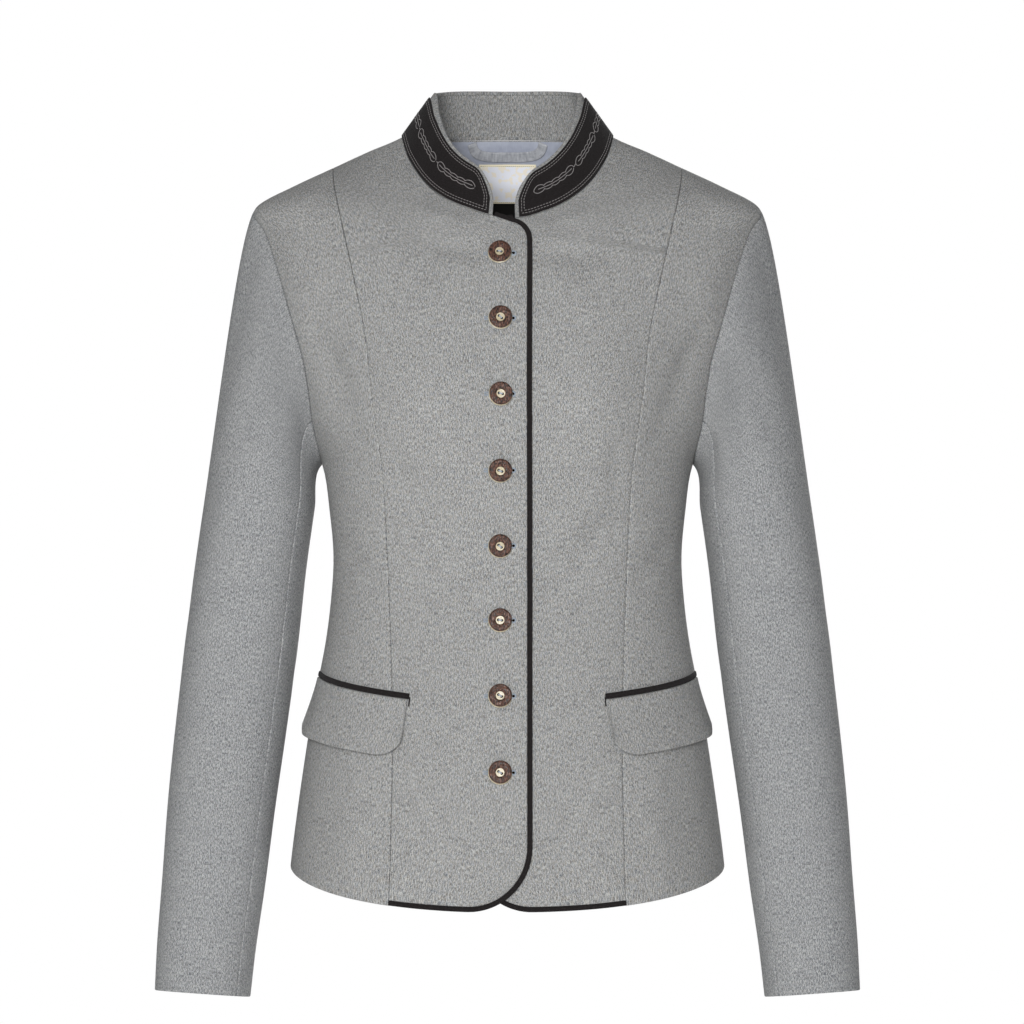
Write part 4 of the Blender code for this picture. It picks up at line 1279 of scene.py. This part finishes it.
def pocket_place(side, share, drop, lift):
    """Places on a pocket by the share along its opening and the drop below it, and the direction out."""
    inner = abs(angle_at(POCKET_INNER, POCKET_INNER_HEIGHT))
    angle = mixed((inner, math.radians(POCKET_OUTER_ANGLE)), share)
    height = mixed((POCKET_INNER_HEIGHT, POCKET_OUTER_HEIGHT), share) - drop
    return off_body(side * angle, height, lift)


def make_pocket(side):
    """The flap and the welt above it, laid on the body, and a black felt stroke at the welt's front end that
    is partly painted shadow.
    """
    word = side_word(side)
    even = np.linspace(0, 1, FLAP_COLUMNS + 1)[None]
    down = np.linspace(0, 1, FLAP_ROWS + 1)[:, None]
    share = even + FLAP_CROWDING * ((1 - np.cos(math.pi * even)) / 2 - even)
    from_end = np.minimum(share, 1 - share) * FLAP_LENGTH
    radius = np.where(share < 0.5, *FLAP_CORNER)
    depth = FLAP_DEPTH - radius * (1 - rounded_end(from_end, radius))
    lift = LAY_GAP + mixed(FLAP_LIFT, share) * down**FLAP_BEND
    for high, waves, shift in FLAP_RIPPLES:
        lift = lift + high * down * np.sin(share * waves + shift * side)
    back, out = pocket_place(side, share, down * depth, lift)
    cloth("pocket_flap_" + word, back + out * FLAP_THICK, back, "wool", "grey_wool")

    share = np.linspace(WELT_START, 1.0, WELT_STEPS + 1)
    path, out = pocket_place(side, share, -(SEAM_GAP + WELT_WIDTH / 2), LAY_GAP + WELT_THICK / 2)
    outwards = unit(np.cross(unit(np.gradient(path, axis=0)), out))
    strip("pocket_welt_" + word, path, out, outwards, WELT_WIDTH, WELT_THICK, "felt", "black_felt")

    # The welt's turned-down end, in black felt that also paints the shadow under it.
    drop = np.linspace(*WELT_END_REACH, WELT_END_POINTS)
    welt_end = pocket_place(side, np.full(WELT_END_POINTS, WELT_END_PLACE), drop, WELT_END_LIFT)
    stitched("pocket_welt_end_and_shadow_" + word, [welt_end], "felt", "black_felt", radius=WELT_END_RADIUS)


def button_heights():
    """Heights of the buttons, from the neck down."""
    rest = BUTTON_TOP - BUTTON_FIRST_PITCH - BUTTON_PITCH * np.arange(BUTTON_COUNT - 1)
    return [BUTTON_TOP] + list(rest)


def lap_place(x, height, lift):
    """A place on the outside of the lap, at x from the centre of the closing, and the direction out of it."""
    angle = angle_at(CENTRE + np.asarray(x, dtype=float), np.asarray(height, dtype=float))
    return off_body(angle, height, LAP_LIFT + np.asarray(lift))


# Ridges of the bark: how many stand round a button, how far they twist inwards, share of the height
RIDGES = ((5, 1.3, 0.3), (11, 2.9, 0.3), (17, 1.1, 0.25), (29, 4.3, 0.15))
RIDGE_BEND = 0.8
# Rings of a button from its middle outwards: share of the radius, height, roughness of the bark, finish
BUTTON_RINGS = (
    [(r, 2.9 + 0.15 * r / 0.36, 0.0, 0) for r in np.linspace(0, 0.36, 20)]
    + [(0.385, 3.25, 0.1, 1), (0.41, 3.75, 0.2, 1), (0.44, 4.0, 0.3, 1)]
    + [(r, 4.05 + 0.15 * math.sin((r - 0.44) * 7), 0.35, 1) for r in np.linspace(0.48, 0.86, 12)]
    + [(0.89, 3.95, 0.35, 1), (0.93, 3.6, 0.3, 1), (0.955, 3.1, 0.25, 1)]
    + [(0.97, 2.5, 0.2, 1), (0.975, 2.0, 0.1, 1)]
    + [(1.0, 1.8, 0.0, 0), (1.005, 1.4, 0.0, 0), (0.98, 0.7, 0.0, 0), (0.9, 0.2, 0.0, 0), (0.5, 0.0, 0.0, 0)]
)


def bark(angle, radius, seed):
    """The uneven ridges of stag horn bark, about 1 at most."""
    total = 0
    for k, (around, inward, share) in enumerate(RIDGES):
        phase = seed * (2.1 + k) + 1.7 * k
        bend = RIDGE_BEND * np.sin(3 * angle + seed)
        total = total + share * np.sin(around * angle + inward * radius + phase + bend)
    return total


def make_button(number, height):
    """A round button of stag horn: bark round a pale core, and two holes. Yields the lines of its thread."""
    angle = 2 * math.pi * np.arange(BUTTON_SIDES) / BUTTON_SIDES
    tilt = math.radians(HOLES_TILT[0] + HOLES_TILT[1] * math.sin(number * 2.3))
    hole = BUTTON_HOLES_APART / 2 * np.array([math.cos(tilt), math.sin(tilt)])
    points = []
    depth = []
    for share, rise, rough, _ in BUTTON_RINGS:
        radius = share * BUTTON_RADIUS * (1 + BARK_WAVER * rough * bark(angle, 0, number))
        x, y = radius * np.cos(angle), radius * np.sin(angle)
        z = rise + rough * bark(angle, radius, number)
        near = np.minimum(np.hypot(x - hole[0], y - hole[1]), np.hypot(x + hole[0], y + hole[1]))
        sunk = (1 - ease(near, *HOLE_EDGE)) * (rise > FACE_LEVEL)
        over = BARK_SHIFT if rough > 0 and share > 0.5 else (0.0, 0.0)
        points.append(stacked(x + over[0], y + over[1], z - HOLE_DEPTH * sunk))
        depth.append(sunk)
    points = np.concatenate(points)
    uv = points[:, :2] + [BARK_SPACING * number, 0]
    # The first ring is a point: it stays a small ring, so that the mesh is closed by one face.
    points[:BUTTON_SIDES, 0] = MIDDLE_RING * np.cos(angle)
    points[:BUTTON_SIDES, 1] = MIDDLE_RING * np.sin(angle)
    faces = tube_faces(len(BUTTON_RINGS), BUTTON_SIDES)
    # Faces deep in a thread hole take the near-black finish: painted shade.
    deepest = np.concatenate(depth)[np.array(faces[:-2])].max(axis=1)
    plain = np.repeat([shade for *_, shade in BUTTON_RINGS[1:]], BUTTON_SIDES)
    shades = np.append(np.where(deepest > HOLE_PAINTED_SHADE, 2, plain), [0, 0])
    place, out = lap_place(0.0, height, BUTTON_SEAT)
    right = unit(np.array([1.0, 0, 0]) - out * out[0])
    turned = np.stack([right, np.cross(out, right), out])
    name = "button_%d" % number
    new_piece(name + "_horn", place + points @ turned, faces, ("horn_core", "horn_bark", "hole_shade"),
              "stag_horn", (name,), uv, shades)
    t = np.linspace(-1, 1, BAR_POINTS)
    bar = stacked(hole[0] * t, hole[1] * t, BAR_LEVEL + BAR_RISE * (1 - t**4))
    for shift in (-BAR_APART, BAR_APART):
        side_step = shift * np.array([-hole[1], hole[0], 0]) / np.linalg.norm(hole)
        yield place + (bar + side_step) @ turned, np.repeat(out[None], BAR_POINTS, axis=0)


def make_buttons():
    """The buttons, the thread that holds them and their buttonholes."""
    thread = []
    purl = []
    shade = []
    for number, height in enumerate(button_heights(), 1):
        thread += make_button(number, height)
        for turn in np.radians(np.arange(*EYELET_TURNS)):
            ring = EYELET_REACH * EYELET_RADIUS * [[math.cos(turn), math.sin(turn)]]
            purl.append(lap_place(EYELET_CENTRE + ring[:, 0], height + ring[:, 1], PURL_LIFT))
        for x in np.arange(*HOLE_BARS):
            for way in (-1, 1):
                purl.append(lap_place(np.full(3, x), height + way * HOLE_BAR_REACH, PURL_LIFT))
        # Painted shade: a near-black disc where each eyelet's hole is.
        around = np.linspace(0, 2 * math.pi, EYELET_SIDES + 1)
        x = EYELET_CENTRE + EYELET_RADIUS * np.cos(around) - EYELET_SHIFT
        low = np.full(len(around), PURL_LIFT[0])
        shade.append(lap_place(x, height + EYELET_RADIUS * np.sin(around), low))
    stitched("button_thread", thread, "pale_thread", "stag_horn", radius=BUTTON_THREAD)
    stitched("buttonhole_stitches", purl, "buttonhole_thread", "grey_wool", radius=STRONG_THREAD)
    make_eyelet_shade(shade)


def make_eyelet_shade(rings):
    """Painted shade in the buttonholes' eyelets: thin near-black discs on the cloth where the holes are."""
    vertices = []
    faces = []
    for spot, out in rings:
        start = len(vertices)
        count = len(spot) - 1
        middle = spot[:-1].mean(axis=0)
        vertices.extend(spot[:-1])
        vertices.extend(spot[:-1] - out[:-1] * EYELET_THICK)
        vertices.extend([middle + out[0] * EYELET_DOME, middle - out[0] * EYELET_THICK])
        for c in range(count):
            d = (c + 1) % count
            faces.append([start + c, start + d, start + count + d, start + count + c])
            faces.append([start + d, start + c, start + 2 * count])
            faces.append([start + count + c, start + count + d, start + 2 * count + 1])
    new_piece("buttonhole_eyelet_shade", vertices, faces, "hole_shade", "grey_wool")


# Inside the back neck


def make_lining(face, out):
    """The lining inside the back neck."""
    rows = slice(ROWS - LINING_ROWS, ROWS + 1)
    columns = slice(LINING_SIDE, 2 * (SHOULDER_COLUMNS + BACK_NECK_COLUMNS) + 1 - LINING_SIDE)
    patch = face[rows, columns].copy()
    inwards = out[rows, columns]
    patch[-1] += unit(patch[-2] - patch[-1]) * LINING_TOP
    depth = WOOL + LAY_GAP
    cloth("back_neck_lining", patch - inwards * (depth + LINING), patch - inwards * depth, "satin",
          "lining_satin", uv=patch[..., [0, 2]])


def make_label():
    """The bare label on the lining, and the stitches along its top and its foot."""
    xs, heights = np.meshgrid(np.linspace(-LABEL_WIDTH / 2, LABEL_WIDTH / 2, LABEL_GRID[0]),
                              np.linspace(LABEL_TOP, LABEL_BOTTOM, LABEL_GRID[1]))
    bulge = LABEL_BULGE * np.sin(xs / LABEL_WAVES[0] + 0.6) * np.sin(heights / LABEL_WAVES[1])
    lay(xs, heights, "label", LINED_DEPTH + bulge, "label", "woven_label", "back_neck_lining",
        stacked(xs, heights))
    half = LABEL_WIDTH / 2 - LABEL_STITCH_INSET
    lines = []
    for level in (LABEL_TOP - LABEL_STITCH_INSET, LABEL_BOTTOM + LABEL_STITCH_INSET):
        row = np.linspace(-half, half, LABEL_ROW_POINTS)
        spot, away = back_place(row, np.full(LABEL_ROW_POINTS, level), LINED_DEPTH + LINING + THREAD_LIFT)
        lines += dashes(spot, -away, *LABEL_STITCH)
    stitched("label_stitches", lines, "dark_thread", "woven_label")


def make_loop():
    """The hanger loop of satin tape, its two ends caught in the neck seam."""
    turn = np.linspace(0, math.pi, LOOP_STEPS + 1)
    fallen = np.maximum(np.sin(turn), 0) ** LOOP_SQUARENESS
    x = LOOP_HALF_SPAN * signed_power(np.cos(turn), LOOP_SQUARENESS) * (1 - LOOP_SPLAY * fallen)
    height = LOOP_TOP - LOOP_DROP * fallen
    along = unit(stacked(np.gradient(x), np.gradient(height)))
    across = np.linspace(-1, 1, LOOP_POINTS)[:, None] * LOOP_WIDTH / 2
    length = arc(stacked(x, height))
    waves = np.sin(length / LOOP_WAVES[0] + 0.8 * np.sin(length / LOOP_WAVES[1]))
    crimp = LOOP_CRIMP * waves * np.cos(across / LOOP_WIDTH * LOOP_CROWN)
    off = LINED_DEPTH + LOOP_LIFT * np.sin(turn) ** 0.5 + crimp
    lay(x + across * along[:, 1], height - across * along[:, 0], "hanger_loop", off, "loop_satin",
        "lining_satin", "back_neck_lining", stacked(across, length))


def back_place(xs, heights, depth):
    """Places inside the back at a depth from the body's outer face, and the direction out of the body."""
    return off_body(angle_at(xs, heights, True), heights, -np.asarray(depth))


def lay(xs, heights, name, depth, finish, slot, under, uv):
    """A piece laid on the inside of the back, at a depth from the body's outer face."""
    face, out = back_place(xs, heights, depth)
    cloth(name, face - out * LINING, face, finish, slot, uv=uv)


# Finishes


def linear(code):
    """A colour given as sRGB hex, as linear values."""
    values = [int(code[i:i + 2], 16) / 255 for i in (0, 2, 4)]
    return [v / 12.92 if v <= 0.04045 else ((v + 0.055) / 1.055) ** 2.4 for v in values] + [1.0]


def node(tree, kind, inputs, **settings):
    """Add a node with its settings and links, and return its first output in use.

    Each input is a plain value, or the output that feeds it.
    """
    made = tree.nodes.new("ShaderNode" + kind)
    for key, value in settings.items():
        setattr(made, key, value)
    for key, value in inputs.items():
        if isinstance(value, bpy.types.NodeSocket):
            tree.links.new(value, made.inputs[key])
        else:
            made.inputs[key].default_value = value
    return next(output for output in made.outputs if output.enabled)


class Finish:
    """A material with one surface shader, and the steps that its patterns are made of."""

    def __init__(self, name, **settings):
        self.material = bpy.data.materials.new(name)
        self.material.use_nodes = True
        self.tree = self.material.node_tree
        self.shader = self.tree.nodes["Principled BSDF"]
        for key, value in settings.items():
            self.shader.inputs[key.replace("_", " ").title().replace("Ior", "IOR")].default_value = value
        self.flat = node(self.tree, "TexCoord", {}).node.outputs["UV"]

    def grains(self, across, up, layers=1.0, seed=0.0, low=0.3, high=0.7):
        """Uneven grains of a size in millimetres on the flat cloth, spread from 0 to 1."""
        scale = (PER_METRE / across, PER_METRE / up, 1)
        place = node(self.tree, "Mapping", {"Vector": self.flat, "Scale": scale})
        inputs = {"Vector": place, "Scale": 1.0, "Detail": layers, "Roughness": 0.6, "W": seed}
        grain = node(self.tree, "TexNoise", inputs, noise_dimensions="4D")
        return node(self.tree, "MapRange", {"Value": grain, "From Min": low, "From Max": high})

    def millimetres(self):
        """Where a point lies on the flat cloth: across it and up it."""
        place = node(self.tree, "Mapping", {"Vector": self.flat, "Scale": (PER_METRE, PER_METRE, 1)})
        return node(self.tree, "SeparateXYZ", {0: place}).node.outputs[:2]

    def shared(self, *parts):
        """The sum of some values, each with its share."""
        total = 0.0
        for value, share in parts:
            total = node(self.tree, "Math", {0: value, 1: share, 2: total}, operation="MULTIPLY_ADD")
        return total

    def coloured(self, share, first, second, height, deep):
        """Colour the shader between two colours, and give it a relief so many millimetres deep."""
        colour = node(self.tree, "Mix", {0: share, 6: first, 7: second}, data_type="RGBA")
        bump = node(self.tree, "Bump", {"Height": height, "Strength": 1.0, "Distance": deep * METRES})
        self.tree.links.new(colour, self.shader.inputs["Base Color"])
        self.tree.links.new(bump, self.shader.inputs["Normal"])
        return self.material


# Wool flannel of mixed grey yarns, woven in a fine twill and brushed. Its yarns are about 0.4 mm apart. They
# are drawn 0.6 mm wide here, so that the streaks of light and dark fibre show at the picture's size.
YARN = 0.6
TWILL = 1.8
TINT_SHARE = 0.3
# How dark a thread is between its plies, as a share of its colour
PLY_SHADOW = 0.72


def wool(name, streak, twill_share, slant, spread, cool="6f7886", warm="948a7c"):
    """Wool flannel: streaks of a length along its yarns, with the twill's lines slanting one way.

    A narrower spread sets its light and dark fibres further apart. Cool and warm are the tints of its fleece.
    """
    made = Finish(name, roughness=0.92, sheen_weight=0.1, sheen_roughness=0.45, specular_ior_level=0.2)
    streaks = made.grains(YARN, streak, 2.0, 0.0, 0.5 - spread, 0.5 + spread)
    long_streaks = made.grains(1.2, 18.0, 2.0, 5.0, 0.40, 0.60)
    specks = made.grains(YARN, YARN, 1.0, 3.0, 0.5 - spread, 0.5 + spread)
    across, up = made.millimetres()
    line = made.shared((across, slant), (up, 1.0), (specks, 0.7))
    wave = node(made.tree, "Math", {0: made.shared((line, 2 * math.pi / TWILL))}, operation="SINE")
    yarn = made.shared((streaks, 0.5), (long_streaks, 0.15), (specks, 0.35), (wave, twill_share / 2))
    fibre = node(made.tree, "Mix", {0: yarn, 6: linear("181a20"), 7: linear("cecfcd")}, data_type="RGBA")
    fleece = made.grains(1.2, 3.6, 1.0, 7.0, 0.38, 0.62)
    tint = node(made.tree, "Mix", {0: fleece, 6: linear(cool), 7: linear(warm)}, data_type="RGBA")
    colour = node(made.tree, "Mix", {0: TINT_SHARE, 6: fibre, 7: tint}, data_type="RGBA")
    cloud = made.shared((made.grains(26.0, 34.0, 3.0, 11.0), 0.12))
    return made.coloured(cloud, colour, linear("b3b3b1"), yarn, 0.22)


def felt():
    """Black felted wool: a matte nap with a few paler fibres, about 0.5 mm apart."""
    made = Finish("black_felted_wool", roughness=0.95, sheen_weight=0.05, sheen_roughness=0.5,
                  specular_ior_level=0.15)
    fibres = made.shared((made.grains(0.5, 1.6, 2.0, 4.0, 0.5, 0.8), 0.5))
    return made.coloured(fibres, linear("1a1717"), linear("474144"), made.grains(0.7, 0.7, 3.0), 0.25)


def satin(name, dark, light, roughness, cloud, lowest=-1000.0):
    """Satin: long floats of shiny yarn, 0.25 mm apart but drawn 0.6 mm, that give a soft sheen one way.

    Cloud is the size of its softer shades. Below the lowest height the satin is painted near-black: painted
    shade of the dark hollow inside the body.
    """
    made = Finish(name, roughness=roughness, sheen_weight=0.1, anisotropic=0.5)
    floats = made.grains(0.6, 6.0)
    # On the hanger loop's tape the cloud is long across it, and paints the shade of its small wrinkles.
    share = made.shared((floats, 0.3), (made.grains(*cloud, 2.0, 5.0), 0.7))
    _, up = made.millimetres()
    # Painted shade: below the lowest height the colour turns near-black, for the hollow inside the body.
    below = node(made.tree, "Math", {0: up, 1: lowest}, operation="LESS_THAN")
    colour = node(made.tree, "Mix", {0: share, 6: linear(dark), 7: linear(light)}, data_type="RGBA")
    return made.coloured(below, colour, linear("0e0c0b"), floats, 0.06)


def woven_label():
    """A damask label of fine white and cream yarns, 0.3 mm apart, with a cream border all round."""
    made = Finish("damask_label", roughness=0.55, sheen_weight=0.1, specular_ior_level=0.4)
    across, up = made.millimetres()
    middle = (LABEL_TOP + LABEL_BOTTOM) / 2
    from_middle = made.shared((up, 1.0), (1.0, -middle))
    inside = 1.0
    for value, half in ((across, LABEL_WIDTH / 2), (from_middle, LABEL_TOP - middle)):
        away = node(made.tree, "Math", {0: value}, operation="ABSOLUTE")
        within = node(made.tree, "Math", {0: away, 1: half - LABEL_BORDER}, operation="LESS_THAN")
        inside = node(made.tree, "Math", {0: within, 1: inside}, operation="MULTIPLY")
    cloud = made.shared((made.grains(6.0, 5.0, 1.0, 0.0, 0.52, 0.58), 0.8))
    field = node(made.tree, "Mix", {0: cloud, 6: linear("eef0f8"), 7: linear("f3ead6")}, data_type="RGBA")
    return made.coloured(inside, linear("f2e8cb"), field, made.grains(3.0, 0.5, 1.0, 2.0), 0.05)


def thread(name, code):
    """Twisted sewing thread, its plies about 0.5 mm apart along it."""
    made = Finish(name, roughness=0.6, sheen_weight=0.2, specular_ior_level=0.4)
    plies = made.grains(0.4, 0.5)
    shadow = [value * PLY_SHADOW for value in linear(code)[:3]] + [1.0]
    return made.coloured(plies, shadow, linear(code), plies, 0.08)


def horn_bark():
    """The outside of stag horn: brown, furrowed about every millimetre, and polished on its ridges."""
    made = Finish("stag_horn_bark", roughness=0.42)
    furrows = made.grains(1.0, 2.6, 3.0, 0.0, 0.44, 0.56)
    share = made.shared((furrows, 0.7), (made.grains(3.2, 4.0, 2.0, 6.0, 0.4, 0.6), 0.3))
    return made.coloured(share, linear("080403"), linear("6b483a"), furrows, 0.3)


def horn_core():
    """The polished inside of stag horn, cream with faint pores about 0.8 mm apart."""
    made = Finish("stag_horn_core", roughness=0.3)
    pores = made.grains(0.8, 0.8, 3.0)
    return made.coloured(pores, linear("9c9074"), linear("c9bfa4"), pores, 0.05)


def hole_shade():
    """Painted shade for the inside of a small hole: matte and nearly black, with a little lint."""
    made = Finish("painted_shade_inside_a_hole", roughness=1.0, specular_ior_level=0.0)
    lint = made.grains(1.0, 1.0)
    return made.coloured(lint, linear("0c0a09"), linear("1a1614"), lint, 0.05)


def studio_paper():
    """Matte white paper of a studio floor, with a faint grain."""
    made = Finish("pale_studio_paper", roughness=0.9, specular_ior_level=0.1)
    grain = made.grains(400.0, 400.0)
    return made.coloured(grain, linear("eeeeed"), linear("f4f4f3"), grain, 0.1)


def make_finishes():
    """Every finish by the name that the pieces use."""
    return {
        "wool": wool("grey_wool_flannel", 2.6, 0.12, 1.0, 0.035),
        "sleeve_wool": wool("grey_wool_flannel_of_the_sleeves", 2.4, 0.2, 1.0, 0.012, "737b88", "8a898c"),
        "collar_wool": wool("grey_wool_flannel_of_the_collar", 2.8, 0.3, -1.0, 0.02),
        "felt": felt(),
        # The lining satin is painted near-black below the label's foot, as shade inside the hollow body.
        "satin": satin("blue_grey_lining_satin_painted_shade_below", "9297a7", "b0b5c2", 0.42, (14.0, 9.0), LABEL_BOTTOM),
        # The tape's cloud, long across it, is painted shade of its small wrinkles.
        "loop_satin": satin("grey_satin_tape_painted_wrinkle_shade", "7c7f86", "b9bbc0", 0.5, (7.0, 1.8)),
        "label": woven_label(),
        "grey_thread": thread("grey_sewing_thread", "8f8b8b"),
        "wool_thread": thread("wool_grey_thread", "555553"),
        "pale_thread": thread("pale_button_thread", "a5aebb"),
        "buttonhole_thread": thread("blue_grey_buttonhole_silk", "929ca8"),
        "dark_thread": thread("dark_label_thread", "3b4742"),
        "horn_bark": horn_bark(),
        "horn_core": horn_core(),
        "hole_shade": hole_shade(),
        "paper": studio_paper(),
    }


# Studio

FLOOR_LEVEL = -1.38
FLOOR_HALF = 4.0
SENSOR = 36.0
LENS = 131.84
VIEWPOINT = (0.0036, -3.0, -0.3)
CHEST = (0, 0, -0.3)

LIGHTS = (
    # name, place in metres, width in metres, watts
    ("key_softbox", (-0.28, -3.0, 0.0), 1.0, 84.0),
    ("fill_softbox", (1.7, -2.8, 0.0), 1.8, 2.0),
    ("back_softbox", (0.9, 2.6, 0.3), 1.8, 60.0),
)
SURROUND = 0.19
BACKDROP = 1.0
# How straight backwards the backdrop begins and is full
BACKDROP_EDGE = (0.80, 0.97)


def floor():
    """A plain pale floor, as far below the shoulders as a standing wearer's would be."""
    mesh = bpy.data.meshes.new("studio_floor")
    corners = [(x * FLOOR_HALF, y * FLOOR_HALF, FLOOR_LEVEL) for x, y in ((-1, -1), (1, -1), (1, 1), (-1, 1))]
    mesh.from_pydata(corners, [], [(0, 1, 2, 3)])
    layer = mesh.uv_layers.new(name="paper")
    layer.data.foreach_set("uv", [value for x, y, _ in corners for value in (x, y)])
    mesh.materials.append(finishes["paper"])
    made = added("studio_floor", mesh, bpy.context.scene.collection)


def lights():
    """Plain soft studio light: three soft boxes, a dim surround and a white backdrop behind the jacket."""
    for name, place, width, watts in LIGHTS:
        lamp = bpy.data.lights.new(name, "AREA")
        lamp.size = width
        lamp.energy = watts
        made = added(name, lamp, bpy.context.scene.collection)
        made.location = place
        made.rotation_mode = "QUATERNION"
        made.rotation_quaternion = (Vector(CHEST) - Vector(place)).to_track_quat("-Z", "Y")
    world = bpy.data.worlds.new("pale_studio")
    world.use_nodes = True
    tree = world.node_tree
    way = node(tree, "SeparateXYZ", {0: node(tree, "TexCoord", {})}).node.outputs["Y"]
    near, far = BACKDROP_EDGE
    sides = {"From Min": near, "From Max": far, "To Min": SURROUND, "To Max": BACKDROP}
    background = tree.nodes["Background"]
    background.inputs["Color"].default_value = (1, 1, 1, 1)
    tree.links.new(node(tree, "MapRange", {"Value": way, **sides}), background.inputs["Strength"])
    bpy.context.scene.world = world
    bpy.context.scene.view_settings.view_transform = "Standard"


def camera():
    """The photograph's viewpoint: straight in front, level with the chest, 3 m away."""
    view = bpy.data.cameras.new("photo_camera")
    view.sensor_width = SENSOR
    view.lens = LENS
    made = added("photo_camera", view, bpy.context.scene.collection)
    made.location = VIEWPOINT
    made.rotation_euler = (math.pi / 2, 0, 0)
    bpy.context.scene.camera = made


def make_jacket():
    """All the pieces, from the body outwards."""
    fronts = [make_front(-1), make_front(1)]
    back = make_back()
    for side, (face, out) in zip((-1, 1), fronts):
        front_mitre, back_mitre = make_sleeve(side)
        make_side(side, False, front_mitre)
        make_side(side, True, back_mitre)
        make_piping(side, face, out)
        make_pocket(side)
    collar = Collar(fronts, back)
    make_collar(collar)
    make_collar_stitching(collar)
    make_lining(*back)
    make_label()
    make_loop()
    make_buttons()


camera()
lights()
finishes = make_finishes()
floor()
pieces = bpy.data.collections.new("stand_collar_jacket")
bpy.context.scene.collection.children.link(pieces)
make_jacket()
